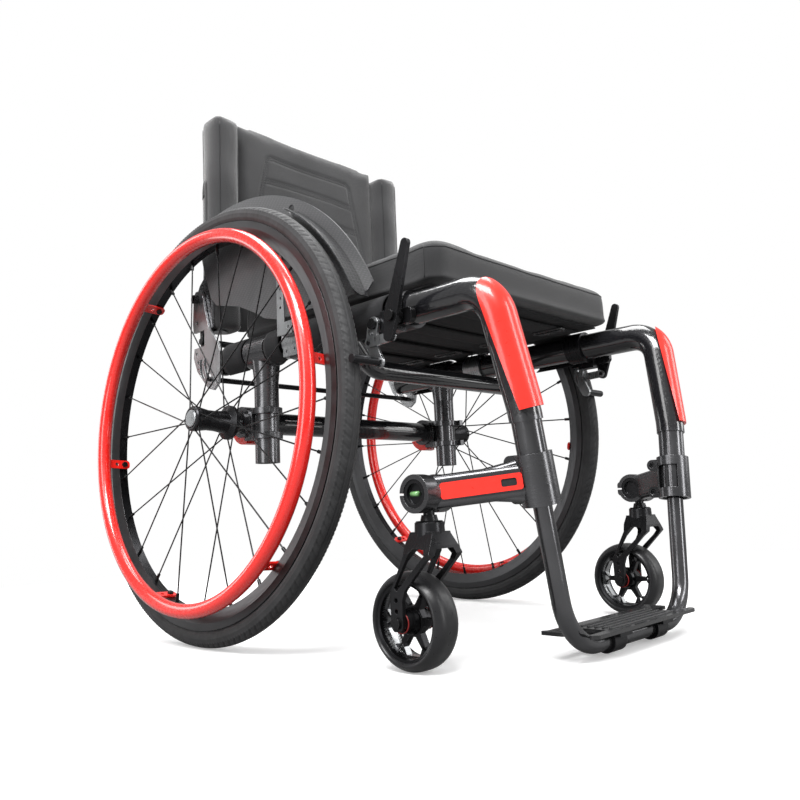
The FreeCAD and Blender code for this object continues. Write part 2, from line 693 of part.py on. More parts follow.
def camber_plugs():
    """Plugs inside the camber tube, each bored at the camber angle for its axle."""
    plugs = []
    for side, sign in SIDES.items():
        end = Vector(sign * (dim("camber_tube_end") - 0.2), 0, dim("axle_z"))
        inward = X_AXIS * -sign
        radius = dim("camber_tube") - dim("tube_wall") - 0.05
        plug = Part.makeCylinder(radius, dim("plug_length"), end, inward)
        bore = Part.makeCylinder(dim("axle_radius") + 0.02, 220, Vector(-180, 0, 0), X_AXIS)
        bore.Placement = wheel_place(side)
        plugs.append(plug.cut(bore))
    return keep_shape("camber_plugs", Part.makeCompound(plugs))


# ---------------------------------------------------------------- caster arms and casters


def caster_arm():
    """The arm from the front tube's clamp to the barrel that holds the caster."""
    place = side_place()
    centre = place.multVec(front_point(dim("front_end_z") + dim("arm_clamp_height") / 2 - 2))
    axis = place.Rotation.multVec(front_direction())
    bore = dim("front_tube") + 0.1
    outer = bore + dim("arm_clamp_wall")
    height = dim("arm_clamp_height")
    barrel = Vector(dim("caster_x"), dim("stem_y"), dim("barrel_z"))
    clamp = Part.makeCylinder(outer, height, centre - axis * (height / 2), axis)
    toward = barrel - centre
    half_h = dim("arm_half_height")
    half_w = dim("arm_half_width")
    beam = box((-half_w, -half_h, 0), (half_w, half_h, toward.Length))
    beam = round_edges(beam, 7, lambda e: runs_along(e, Z_AXIS))
    flat = Vector(toward.x, toward.y, 0).normalize()
    across = flat.cross(Z_AXIS)
    along = Vector(toward).normalize()
    upward = along.cross(across)
    turn = FreeCAD.Matrix(
        across.x, upward.x, along.x, centre.x, across.y, upward.y, along.y, centre.y,
        across.z, upward.z, along.z, centre.z, 0, 0, 0, 1)
    half_t = half_w - 2.5
    outline = [(2 - half_h, 70), (4 - height / 2, 14), (4 - height / 2, 0),
               (height / 2 - 4, 0), (height / 2 - 4, 14), (half_h - 2, 58)]
    corners = [Vector(-half_t, y, z) for y, z in outline]
    gusset = Part.Face(Part.makePolygon(corners + [corners[0]])).extrude(X_AXIS * (2 * half_t))
    gusset = round_edges(gusset, 5, lambda e: not runs_along(e, X_AXIS) and not runs_along(e, Y_AXIS))
    beam.Placement = Placement(turn)
    gusset.Placement = Placement(turn)
    housing = ring(barrel, X_AXIS, dim("barrel_clamp"), 1, dim("barrel_length"))
    ears = box((-11, 12, -10), (11, 27, 10))
    ears = round_edges(ears, 5, lambda e: runs_along(e, X_AXIS) and e.Curve.Location.y > 20)
    ears.Placement = Placement(barrel, Rotation())
    solids = [beam, gusset, housing, ears]
    for height in (-18, 18):
        lug = centre - axis * height + Vector(0, outer + 4, 0)
        solids.append(rod(lug - X_AXIS * 10, lug + X_AXIS * 10, 7.5))
        solids.append(box((lug.x - 10, lug.y - 14, lug.z - 7.5), (lug.x + 10, lug.y, lug.z + 7.5)))
    arm = clamp.fuse(solids)
    window = box((-40, -13, -15), (0, 13, 15))
    window.Placement = Placement(centre, Rotation(Z_AXIS, axis * -1))
    arm = arm.cut(window)
    for height in (-18, 18):
        lug = centre - axis * height + Vector(0, outer + 4, 0)
        arm = arm.cut(rod(lug - X_AXIS * 11, lug - X_AXIS * 5, 4.2))
        arm = arm.cut(box((lug.x - 0.8, lug.y - 18, lug.z - 9), (lug.x + 0.8, lug.y + 9, lug.z + 9)))
    arm = arm.cut(Part.makeCylinder(bore, 160, centre - axis * 80, axis))
    arm = arm.cut(Part.makeCylinder(dim("barrel_radius"), 120, barrel - X_AXIS * 60, X_AXIS))
    arm = arm.cut(Part.makeCylinder(11, 60, barrel - Z_AXIS * 60, Z_AXIS))
    arm = arm.cut(Part.makeCylinder(dim("stem_radius") + 3, 60, barrel, Z_AXIS))
    slit = box((-40, 10, -1.2), (40, 40, 1.2))
    slit.Placement = Placement(barrel, Rotation())
    return arm.cut(slit).removeSplitter(), centre, barrel


def arm_inlay(centre, barrel):
    """The coloured strip let onto the outer face of a caster arm."""
    toward = barrel - centre
    along = Vector(toward).normalize()
    flat = Vector(toward.x, toward.y, 0).normalize()
    across = flat.cross(Z_AXIS)
    upward = across.cross(along)
    start = centre + toward * 0.14 + across * (dim("arm_half_width") + 0.1)
    strip = box((0, -8.5, 0), (toward.Length * 0.74, 8.5, 2))
    strip = round_edges(strip, 3, lambda e: runs_along(e, Z_AXIS))
    recess = box((6, -4, 0.8), (22, 4, 3))
    strip = strip.cut(round_edges(recess, 2, lambda e: runs_along(e, Z_AXIS)))
    turn = FreeCAD.Matrix(
        along.x, upward.x, across.x, start.x, along.y, upward.y, across.y, start.y,
        along.z, upward.z, across.z, start.z, 0, 0, 0, 1)
    strip.Placement = Placement(turn)
    return strip


def caster_barrel():
    """The turned barrel in the arm's end, with the stem's bore and a round level recess."""
    centre = Vector(dim("caster_x"), dim("stem_y"), dim("barrel_z"))
    radius = dim("barrel_radius") - 0.05
    barrel = Part.makeCylinder(radius, dim("barrel_length") - 2, centre - X_AXIS * 21, X_AXIS)
    barrel = barrel.cut(Part.makeCylinder(radius - 4, 5, centre + X_AXIS * 17, X_AXIS))
    barrel = barrel.cut(Part.makeCylinder(radius - 4, 5, centre - X_AXIS * 22, X_AXIS))
    stem = Part.makeCylinder(dim("stem_radius") + dim("running_gap"), 60, centre - Z_AXIS * 30, Z_AXIS)
    return barrel.cut(stem)


def fork_place(side):
    """Carries a fork drawn with its stem on the Z axis to its caster."""
    return Placement(Vector(SIDES[side] * dim("caster_x"), dim("stem_y"), 0), Rotation())


def caster_fork(side):
    """A forged fork: one side outline padded across, then slotted for the wheel and windowed."""
    trail = "(Dims.caster_y - Dims.stem_y)"
    width = "2 * (Dims.fork_gap + Dims.fork_blade)"
    body = new_body("Fork_" + side)
    outer = new_sketch(body, "YZ_Plane", "Fork_outline_" + side)
    draw_outline(outer, [
        ("-Dims.fork_crown", "142"), ("-19", "128"), ("-20.5", "119"),
        (trail + " - 12", "83"), (trail + " - 8.5", "73"), (trail + " - 8", "47"),
        (trail + " - 4.5", "42.5"), (trail + " + 4.5", "42.5"), (trail + " + 8", "47"),
        (trail + " + 8.5", "80"), ("15", "120"), ("17", "130"), ("Dims.fork_crown", "142"),
    ])
    add_pad(body, outer, width, "Fork_pad_" + side, symmetric=True)
    slot = new_sketch(body, "XZ_Plane", "Fork_slot_" + side)
    draw_outline(slot, [
        ("-Dims.fork_gap", "20"), ("Dims.fork_gap", "20"), ("Dims.fork_gap", "113"),
        ("Dims.fork_gap - 8", "125"), ("-Dims.fork_gap + 8", "125"), ("-Dims.fork_gap", "113"),
    ])
    add_pocket(body, slot, "Fork_slot_cut_" + side)
    window = new_sketch(body, "YZ_Plane", "Fork_window_" + side)
    draw_outline(window, [
        ("-13.5", "119"), ("-11", "124.5"), ("4", "126"), ("8.5", "120"), (trail + " + 2.5", "86"),
        (trail + " - 1.5", "83"), (trail + " - 6", "87"),
    ])
    add_pocket(body, window, "Fork_window_cut_" + side)
    holes = new_sketch(body, "YZ_Plane", "Fork_holes_" + side)
    draw_circle(holes, trail, "Dims.caster_radius", "Dims.caster_bolt + Dims.running_gap")
    draw_circle(holes, trail, "Dims.caster_radius + 12", "2.6")
    draw_circle(holes, trail, "Dims.caster_radius + 23", "2.6")
    add_pocket(body, holes, "Fork_holes_cut_" + side)
    shoulder = new_sketch(body, "XZ_Plane", "Fork_shoulder_" + side)
    for sign in ("", "-"):
        edge = "(Dims.fork_gap + Dims.fork_blade + 1)"
        draw_outline(shoulder, [
            (sign + edge, "119"), (sign + edge, "145"), (sign + "(Dims.fork_crown - 1)", "145"),
            (sign + "(Dims.fork_crown - 1)", "140"),
        ])
    add_pocket(body, shoulder, "Fork_shoulder_cut_" + side)
    crown = new_sketch(body, "XZ_Plane", "Fork_crown_" + side)
    draw_outline(crown, [
        ("0", "129"), ("Dims.fork_crown + 1", "129"), ("Dims.fork_crown", "Dims.fork_top - 2"),
        ("Dims.fork_crown - 2", "Dims.fork_top"), ("0", "Dims.fork_top"),
    ])
    add_revolution(body, crown, "Fork_crown_turned_" + side, "V_Axis")
    return keep("caster_fork_" + side, body, fork_place(side))


def caster_bolts(side):
    """The fork's stem with its bearing collar, and the wheel's axle bolt with its nut."""
    stem = Part.makeCylinder(dim("stem_radius"), 44, Vector(0, 0, dim("fork_top")), Z_AXIS)
    collar = Part.makeCone(9.5, 8, 6, Vector(0, 0, dim("fork_top")), Z_AXIS)
    trail = dim("caster_y") - dim("stem_y")
    reach = dim("fork_gap") + dim("fork_blade")
    start = Vector(-reach, trail, dim("caster_radius"))
    bolt = Part.makeCylinder(dim("caster_bolt"), 2 * reach, start, X_AXIS)
    head = Part.makeCylinder(6, 3, Vector(reach, trail, dim("caster_radius")), X_AXIS)
    nut = Part.makeCylinder(6, 3, Vector(-reach - 3, trail, dim("caster_radius")), X_AXIS)
    solids = [stem.fuse(collar).removeSplitter(), bolt.fuse([head, nut]).removeSplitter()]
    return keep_shape("caster_bolts_" + side, Part.makeCompound(solids), fork_place(side))


def caster_wheel_place(side):
    return Placement(Vector(SIDES[side] * dim("caster_x"), dim("caster_y"), dim("caster_radius")), Rotation())


def caster_tyre(side):
    """A soft-roll tyre with a round crown."""
    body = new_body("Caster_tyre_" + side)
    sketch = new_sketch(body, "XY_Plane", "Caster_tyre_profile_" + side)
    half = dim("caster_half_width")
    low = dim("caster_rim") + 0.1
    top = dim("caster_radius")
    right = [Vector(half - 3, low, 0), Vector(half, low + 3.2, 0), Vector(half - 2.2, top - 4.2, 0),
             Vector(half - 7, top - 1.1, 0)]
    left = [Vector(-p.x, p.y, 0) for p in reversed(right)]
    curve = Part.BSplineCurve()
    curve.interpolate(right + [Vector(0, top, 0)] + left)
    sketch.addGeometry(curve, False)
    sketch.addGeometry(Part.LineSegment(left[-1], right[0]), False)
    add_revolution(body, sketch, "Caster_tyre_turned_" + side)
    return keep("caster_tyre_" + side, body, caster_wheel_place(side))


CASTER_SPOKES = 6


def caster_rim(side):
    """A light alloy caster wheel: a hub and a rim joined by six Y-shaped spokes."""
    hub = "Dims.caster_hub"
    rim = "Dims.caster_rim"
    half = "Dims.caster_half_width"
    body = turned_body("Caster_rim_" + side, [
        ("-%s - 1.5" % half, "8.1"), ("-%s - 1.5" % half, "10"), ("-%s + 6" % half, hub),
        ("-4", hub + " + 1"), ("-4", rim + " - 4"), ("-%s + 4" % half, rim + " - 3"),
        ("-%s + 3" % half, rim), (half + " - 3", rim), (half + " - 4", rim + " - 3"),
        ("4", rim + " - 4"), ("4", hub + " + 1"), (half + " - 6", hub),
        (half + " + 1.5", "10"), (half + " + 1.5", "8.1"),
    ])
    window = new_sketch(body, "YZ_Plane", "Caster_window_" + side)
    draw_outline(window, [("-4.5", "15.8"), ("4.5", "15.8"), ("12.5", "27"), ("9", "35"),
                          ("-9", "35"), ("-12.5", "27")])
    fork = new_sketch(body, "YZ_Plane", "Caster_notch_" + side)
    turn = math.radians(180.0 / CASTER_SPOKES)
    notch = [(0, 27.0), (4.4, 35.4), (-4.4, 35.4)]
    draw_outline(fork, [("%.4f" % (a * math.cos(turn) + b * math.sin(turn)),
                         "%.4f" % (b * math.cos(turn) - a * math.sin(turn))) for a, b in notch])
    cuts = [add_pocket(body, window, "Caster_window_cut_" + side),
            add_pocket(body, fork, "Caster_notch_cut_" + side)]
    pattern = body.newObject("PartDesign::PolarPattern", "Caster_windows_" + side)
    pattern.Originals = cuts
    axis = next(f for f in body.Origin.OriginFeatures if f.Role == "X_Axis")
    pattern.Axis = (axis, [""])
    pattern.Angle = 360
    pattern.Occurrences = CASTER_SPOKES
    body.Tip = pattern
    return keep("caster_rim_" + side, body, caster_wheel_place(side))


def caster_bearings(side):
    """Two bearings pressed in the caster's hub, turning on the axle bolt."""
    inner = dim("caster_bolt") + dim("running_gap")
    half = dim("caster_half_width")
    rings = [ring(Vector(sign * (half - 2.5), 0, 0), X_AXIS, 8.05, inner, 7) for sign in (1, -1)]
    return keep_shape("caster_bearings_" + side, Part.makeCompound(rings), caster_wheel_place(side))


# ---------------------------------------------------------------- seat and side guards


def seat_sling():
    """The seat's fabric sling, lying over both side tubes."""
    body = new_body("Seat_sling")
    sketch = new_sketch(body, "XY_Plane", "Seat_sling_outline")
    draw_outline(sketch, [
        ("-Dims.seat_x", "Dims.sling_front"), ("Dims.seat_x", "Dims.sling_front"),
        ("Dims.seat_x", "Dims.sling_back"), ("-Dims.seat_x", "Dims.sling_back"),
    ])
    add_pad(body, sketch, "Dims.sling_thick", "Seat_sling_pad")
    height = dim("seat_z") + dim("seat_tube") + dim("sling_gap") + dim("saddle_wall")
    return keep("seat_sling", body, Placement(Vector(0, 0, height), Rotation()))


def seat_cushion():
    """A box cushion with rounded corners and edges, resting on the sling."""
    body = new_body("Seat_cushion")
    sketch = new_sketch(body, "XY_Plane", "Seat_cushion_outline")
    draw_outline(sketch, [
        ("-Dims.cushion_half", "Dims.cushion_front"), ("Dims.cushion_half", "Dims.cushion_front"),
        ("Dims.cushion_half", "Dims.cushion_back"), ("-Dims.cushion_half", "Dims.cushion_back"),
    ])
    pad = add_pad(body, sketch, "Dims.cushion_thick", "Seat_cushion_pad")
    corners = add_fillet(body, pad, 14, lambda e: runs_along(e, Z_AXIS), "Seat_cushion_corners")
    thick = dim("cushion_thick")
    top_edge = lambda e: abs(e.BoundBox.ZMin - thick) < 0.01
    add_fillet(body, corners, 9, top_edge, "Seat_cushion_edges")
    sling = dim("seat_z") + dim("seat_tube") + dim("sling_gap") + dim("saddle_wall") + dim("sling_thick")
    return keep("seat_cushion", body, Placement(Vector(0, 0, sling + 0.2), Rotation()))


GUARD_FRONT = math.radians(155)
GUARD_NOTCH = math.radians(118)
GUARD_REAR = math.radians(72.5)


def wheel_point(x, radius, angle):
    """A point about the rear axle line; the angle is measured from +Y up over the wheel."""
    return Vector(x, radius * math.cos(angle), dim("axle_z") + radius * math.sin(angle))


def side_guard():
    """A carbon guard beside the wheel: an arched panel with a shelf that reaches out over the tyre."""
    x = dim("guard_x")
    radius = dim("guard_radius")
    shelf = dim("lip_radius")
    front = wheel_point(x, radius, GUARD_FRONT)
    top = wheel_point(x, radius, (GUARD_FRONT + GUARD_REAR) / 2)
    rear = wheel_point(x, radius, GUARD_REAR)
    lower = [(76, 540), (57, 490), (42, 476), (-15, 462), (-53, 445), (-76, 432), (-107, 424), (-281, 424)]
    arc = Part.Arc(front, top, rear).toShape()
    chain = [rear] + [Vector(x, y, z) for y, z in lower] + [front]
    edges = [arc] + [Part.makeLine(a, b) for a, b in zip(chain[:-1], chain[1:])]
    panel = Part.Face(Part.Wire(edges)).extrude(X_AXIS * dim("guard_thick"))
    start = wheel_point(x + 0.1, shelf - 2, GUARD_NOTCH)
    radial = wheel_point(0, 1, GUARD_NOTCH) - Vector(0, 0, dim("axle_z"))
    width = X_AXIS * dim("guard_lip")
    strip = Part.makePolygon([start, start + width, start + width + radial * 2, start + radial * 2, start])
    axis_point = Vector(0, 0, dim("axle_z"))
    sweep = math.degrees(GUARD_FRONT - GUARD_NOTCH) + 2
    lip = Part.Face(strip).revolve(axis_point, X_AXIS, sweep)
    outer_x = x + dim("guard_lip")
    lip = round_edges(lip, 14, lambda e: e.Length < 2.5 and e.CenterOfMass.x > outer_x)
    guard = panel.fuse(lip).removeSplitter()
    hole = Part.makeCylinder(6, 20, wheel_point(x - 10, shelf + 1, GUARD_NOTCH - 0.012), X_AXIS)
    return guard.cut(hole)


def guard_bracket():
    """The perforated strip that holds a side guard to its clamp on the side tube."""
    x = dim("guard_x") + dim("guard_thick") + 0.1
    holes = [(-115, 438 + 13 * i, 2) for i in range(6)]
    strip = plate([(-123, 400), (-107, 400), (-107, 512), (-119, 512)], x, 2.2, holes)
    upper = plate([(-138, 400), (-107, 400), (-107, 417), (-138, 417)], x, 2.2,
                  [(-114, 408, 2.2), (-131, 409, 2.2)])
    inner = dim("seat_tube") + 0.05
    outer = dim("seat_tube") + 4
    centre = Vector(dim("seat_x"), -122, dim("seat_z"))
    collar = ring(centre, Y_AXIS, outer, inner, 34)
    arm = box((dim("seat_x") + 16, -139, 402), (x + 0.2, -107, 412))
    arm = arm.cut(Part.makeCylinder(inner, 60, centre - Y_AXIS * 30, Y_AXIS))
    lower = plate([(-138, 373), (-107, 373), (-107, 388), (-138, 388)], dim("seat_x") + outer - 4, 2.6,
                  [(-114, 380, 2.2), (-131, 381, 2.2)])
    return strip.fuse([upper, collar, arm, lower]).removeSplitter()


# ---------------------------------------------------------------- back


def back_bracket():
    """The fixed plate at the rear end of a side tube, with a plug that fills the tube."""
    x = dim("bracket_x")
    pivot = (dim("pivot_y"), dim("pivot_z"))
    outline = [
        (88, 504), (94, 512), (108, 512), (114, 504), (116, 462), (114, 447.5), (84, 447.5), (84, 422.5),
        (112, 422.5), (114, 408), (104, 386), (74, 356), (60, 352), (48, 360), (42, 384), (42, 408),
        (50, 424), (72, 448), (82, 476),
    ]
    holes = [pivot + (dim("pivot_bolt") + 0.05,), (104, 462, 3), (106, 414, 2.4), (102, 400, 2.4),
             (dim("strut_y"), dim("strut_z"), 2.1)]
    web = plate(outline, x, dim("bracket_thick"), holes)
    centre = Vector(x, dim("seat_rear") - 4, dim("seat_z"))
    slots = []
    for radius in (24, 36):
        band = ring(centre + X_AXIS * 2, X_AXIS, radius + 3, radius - 3, 12)
        slots.append(band.common(box((x - 8, 66, dim("seat_z") - 22), (x + 12, 120, dim("seat_z") + 8))))
    web = web.cut(slots)
    plug_end = dim("seat_rear") + 0.2
    flange = Part.makeCylinder(dim("seat_tube"), 4, Vector(dim("seat_x"), plug_end, dim("seat_z")), Y_AXIS)
    arm = box((dim("seat_x"), plug_end, dim("seat_z") - 12), (x + 0.5, plug_end + 4, dim("seat_z") + 12))
    plug = Part.makeCylinder(dim("seat_tube") - dim("tube_wall") - 0.05, 34,
                             Vector(dim("seat_x"), plug_end - 33.9, dim("seat_z")), Y_AXIS)
    return web.fuse([flange, arm, plug]).removeSplitter()


def back_axis():
    """The direction of a back post, leaning to the rear."""
    lean = math.radians(dim("back_lean"))
    return Vector(0, math.sin(lean), math.cos(lean))


def back_post():
    """A back tube with the hinge plate that turns on the bracket's pivot."""
    foot = Vector(dim("back_x"), dim("back_y"), dim("back_z"))
    axis = back_axis()
    length = (dim("back_top") - foot.z) / axis.z
    tube = rod(foot, foot + axis * length, dim("back_tube"))
    bore = rod(foot + axis * 60, foot + axis * (length + 1), dim("back_tube") - 2)
    x = dim("back_plate_x")
    outline = [(72, 524), (88, 534), (104, 522), (115, 503), (113, 486), (104, 452), (102, 421),
               (82, 419), (70, 450)]
    holes = [(dim("pivot_y"), dim("pivot_z"), dim("pivot_bolt") + 0.05)]
    web = plate(outline, x, dim("back_plate_thick"), holes)
    block = box((dim("back_x"), 74, 452), (x + 0.5, 92, 516))
    solid = tube.cut(bore).fuse([web, block]).removeSplitter()
    slot = box((-260, dim("lock_bar_y") - 5.1, dim("lock_bar_z") - 5.1),
               (260, dim("lock_bar_y") + 5.1, dim("lock_bar_z") + 13.5))
    return solid.cut(slot)


def lock_bar():
    """The release bar across the back: it rests in both back plates' slots and lifts to unlock."""
    x = dim("bracket_x") + dim("bracket_thick") + 1.5
    bar = DOC.addObject("Part::Cylinder", "Lock_bar")
    bar.setExpression("Radius", "Dims.lock_bar")
    bar.Height = 2 * x
    right_end = Vector(-x, dim("lock_bar_y"), dim("lock_bar_z"))
    return keep("lock_bar", bar, Placement(right_end, Rotation(Y_AXIS, 90)))


def rigidizer_bar():
    """A cross bar behind the upholstery, held to the posts by a clamp at each end."""
    z = 640
    behind = 30
    at = Vector(0, dim("back_y"), dim("back_z")) + back_axis() * ((z - dim("back_z")) / back_axis().z)
    bar_y = at.y + behind + 6
    x = dim("back_x")
    inset = x - 26
    path = bent_path([Vector(x, at.y + behind - 4, z), Vector(inset, bar_y, z),
                      Vector(-inset, bar_y, z), Vector(-x, at.y + behind - 4, z)], [16, 16])
    solids = [pipe(path, 6)]
    for sign in SIDES.values():
        centre = Vector(sign * x, at.y, z)
        collar = ring(centre, back_axis(), dim("back_tube") + 3, dim("back_tube") + 0.05, 24)
        lug = box((sign * x - 7, at.y + 13, z - 9), (sign * x + 7, at.y + behind, z + 9))
        solids[0] = solids[0].fuse([collar, lug])
    return keep_shape("rigidizer_bar", solids[0].removeSplitter())


def back_upholstery():
    """The back's sling and its two side bolsters, as one soft solid that sleeves the posts."""
    low = 448.0
    tilt = back_axis()
    half = dim("bolster_half")
    inner = dim("panel_half")
    centre = dim("back_y") + (low - dim("back_z")) * tilt.y
    front = centre - dim("bolster_depth") / 2
    rear = centre + dim("bolster_depth") / 2
    bolster = [(inner + 4, front + 8), (inner + 14, front), (half - 16, front), (half, front + 16),
               (half, rear - 10), (half - 10, rear), (inner + 14, rear), (inner + 4, rear - 8)]
    wire = [Vector(x, y, low) for x, y in bolster]
    face = Part.Face(Part.makePolygon(wire + [wire[0]]))
    roll = face.extrude(tilt * ((dim("bolster_top") - low) / tilt.z))
    panel = box((-inner - 8, centre - 4, low), (inner + 8, centre - 4 + dim("panel_thick"), dim("panel_top")))
    solid = roll.fuse([panel, mirrored(roll)]).removeSplitter()
    foot = Vector(dim("back_x"), dim("back_y"), dim("back_z"))
    channel = rod(foot - tilt * 20, foot + tilt * (dim("back_top") - foot.z + 0.5), dim("back_tube") + 0.1)
    plate_room = box((dim("back_plate_x") - 0.2, 40, 400), (230, 130, 535))
    block_room = box((dim("back_x"), 73.9, 440), (230, 92.1, 516.1))
    clamp_room = box((dim("back_x") - 17, 66, 626), (230, 140, 654))
    bar_room = box((inner - 10, centre + 24, 626), (dim("back_x"), 140, 654))
    for room in (channel, plate_room, block_room, clamp_room, bar_room):
        solid = solid.cut([room, mirrored(room)])
    return keep_shape("back_upholstery", solid)


# ---------------------------------------------------------------- wheel locks

LEVER_X = 230.8
LINK_X = 227.2
SHOE_X = 222.6


def brake_rail():
    """The rail on the side tube that carries both pivots of a wheel lock."""
    collar = ring(Vector(dim("seat_x"), -316, dim("seat_z")), Y_AXIS,
                  dim("seat_tube") + 4, dim("seat_tube") + 0.1, 26)
    lug = box((dim("seat_x") + 16, -329, 366), (221.5, -303, 392))
    tube_start = Vector(dim("seat_x"), -350, dim("seat_z"))
    lug = lug.cut(Part.makeCylinder(dim("seat_tube") + 0.1, 60, tube_start, Y_AXIS))
    rail = box((214, -352, 371), (221.5, -284, 389))
    rail = round_edges(rail, 6, lambda e: runs_along(e, X_AXIS))
    return collar.fuse([lug, rail]).removeSplitter()


def lever_points():
    """The lever's pivot and its lower pin, as (y, z)."""
    pivot = (dim("lever_y"), dim("brake_z"))
    return pivot, (pivot[0] + dim("brake_offset"), pivot[1] - dim("brake_reach"))


def shoe_points():
    """The shoe arm's pivot and the link's pin on it, as (y, z)."""
    pivot = (dim("shoe_y"), dim("brake_z") - 1.5)
    return pivot, (pivot[0] + dim("brake_offset"), pivot[1] - dim("brake_reach"))


def brake_pivots():
    """The lever's long pivot bolt and the shoe arm's short one."""
    lever, _ = lever_points()
    shoe, _ = shoe_points()
    bolts = []
    for at, length in ((lever, LEVER_X + 5.4), (shoe, SHOE_X + 4.2)):
        shank = rod(Vector(221.6, *at), Vector(length + 3, *at), 4)
        bolts.append(shank.fuse(rod(Vector(length, *at), Vector(length + 3, *at), 6.5)))
    return bolts


def brake_lever():
    """The hand lever: a long grip above its pivot and a short arm below for the link's pin."""
    pivot, low = lever_points()
    tip = (pivot[0] - 26, pivot[1] + 77)
    thick = 5.0
    lower = link_plate(pivot, low, 10, 7, LEVER_X, thick)
    upper = link_plate(pivot, tip, 9.5, 5.5, LEVER_X, thick)
    boss = rod(Vector(LEVER_X - 8, *pivot), Vector(LEVER_X, *pivot), 8)
    pin = rod(Vector(LINK_X, *low), Vector(LEVER_X, *low), dim("brake_pin"))
    solid = lower.fuse([upper, boss, pin])
    hole = rod(Vector(LEVER_X - 20, *pivot), Vector(LEVER_X + 20, *pivot), 4.05)
    return solid.cut(hole).removeSplitter()


def brake_link():
    """The link between the lever's lower pin and the shoe arm's pin."""
    first = lever_points()[1]
    second = shoe_points()[1]
    solid = link_plate(first, second, 5.5, 5.5, LINK_X, 3.2)
    for end in (first, second):
        solid = solid.cut(rod(Vector(LINK_X - 4, *end), Vector(LINK_X + 8, *end), dim("brake_pin") + 0.05))
    return solid


def brake_arm():
    """The shoe arm: hangs from its pivot, carries the link's pin and the rod that grips the tyre."""
    pivot, mid = shoe_points()
    foot = (dim("brake_foot_y"), dim("brake_foot_z"))
    thick = 4.0
    strip = link_plate(pivot, mid, 8.5, 7.5, SHOE_X, thick).fuse(link_plate(mid, foot, 7.5, 7, SHOE_X, thick))
    strip = strip.cut(rod(Vector(SHOE_X - 2, *pivot), Vector(SHOE_X + 8, *pivot), 4.05))
    middle = ((pivot[0] + mid[0]) / 2, (pivot[1] + mid[1]) / 2)
    strip = strip.cut(rod(Vector(SHOE_X - 2, *middle), Vector(SHOE_X + 8, *middle), 2))
    pin = rod(Vector(SHOE_X + thick, *mid), Vector(LINK_X + 3.4, *mid), dim("brake_pin"))
    shoe = rod(Vector(SHOE_X, *foot), Vector(268, *foot), dim("foot_rod"))
    return strip.fuse([pin, shoe]).removeSplitter()


# ---------------------------------------------------------------- footplate


def footplate():
    """A flat plate on the footrest tube, notched round both legs."""
    centre = dim("foot_y")
    low = dim("foot_z") + dim("foot_tube") + dim("plate_gap")
    half = dim("plate_half")
    inside = dim("plate_inside")
    front = dim("plate_front")
    rear = dim("plate_rear")
    right = [(0, front), (half - 6, front), (half, front + 5), (half, centre - 15), (inside, centre - 15),
             (inside, centre + 15), (half, centre + 15), (half, rear + 8), (half - 8, rear), (0, rear)]
    outline = right + [(-x, y) for x, y in reversed(right[1:-1])]
    points = [Vector(x, y, low) for x, y in outline]
    solid = Part.Face(Part.makePolygon(points + [points[0]])).extrude(Z_AXIS * dim("plate_thick"))
    solid = round_edges(solid, 2.5, lambda e: runs_along(e, Z_AXIS) and abs(e.Curve.Location.x) > 20)
    for x in (-70, 0, 70):
        slot = box((x - 16, rear + 8, low - 1), (x + 16, rear + 13, low + 10))
        solid = solid.cut(slot)
    return keep_shape("footplate", solid)


def footplate_clamps():
    """Two split clamps that hold the plate on the tube and let its angle be set."""
    centre_y = dim("foot_y")
    gap = dim("running_gap")
    tube_top = dim("foot_z") + dim("foot_tube")
    solids = []
    for sign in SIDES.values():
        x = sign * dim("plate_clamp_x")
        centre = Vector(x, centre_y, dim("foot_z"))
        collar = ring(centre, X_AXIS, dim("foot_tube") + 3.5, dim("foot_tube") + gap, 26)
        pad_top = tube_top + dim("plate_gap") - 0.1
        pad = box((x - 13, centre_y - 20, tube_top - 5), (x + 13, centre_y + 24, pad_top))
        tube = Part.makeCylinder(dim("foot_tube") + gap, 60, centre - X_AXIS * 30, X_AXIS)
        above = box((x - 20, centre_y - 40, pad_top), (x + 20, centre_y + 40, 60))
        solids.append(collar.fuse(pad).cut(tube).cut(above).removeSplitter())
    return keep_shape("footplate_clamps", Part.makeCompound(solids))


# ---------------------------------------------------------------- fasteners


def socket_screw(start, direction, shank, length):
    """A socket-head screw: its head ends at the start point, and its shank runs on from there."""
    direction = Vector(direction).normalize()
    head = Part.makeCylinder(shank * 1.7, shank * 1.6, start - direction * shank * 1.6, direction)
    socket = Part.makeCylinder(shank * 0.8, shank, start - direction * (shank * 1.6 + 0.1), direction)
    body = Part.makeCylinder(shank, length, start, direction)
    return head.cut(socket).fuse(body).removeSplitter()


def frame_screws():
    """The screws and pivot bolts that stay with the frame."""
    left = []
    pivot = Vector(dim("bracket_x") + dim("bracket_thick"), dim("pivot_y"), dim("pivot_z"))
    left.append(socket_screw(pivot + X_AXIS * 0.1, -X_AXIS, dim("pivot_bolt"), 8.8))
    strut = Vector(dim("bracket_x") + dim("bracket_thick") + 0.1, dim("strut_y"), dim("strut_z"))
    left.append(socket_screw(strut, -X_AXIS, 2, 3.9))
    left.extend(brake_pivots())
    return keep_shape("frame_screws", Part.makeCompound([s for p in left for s in (p, mirrored(p))]))


# ---------------------------------------------------------------- assembly


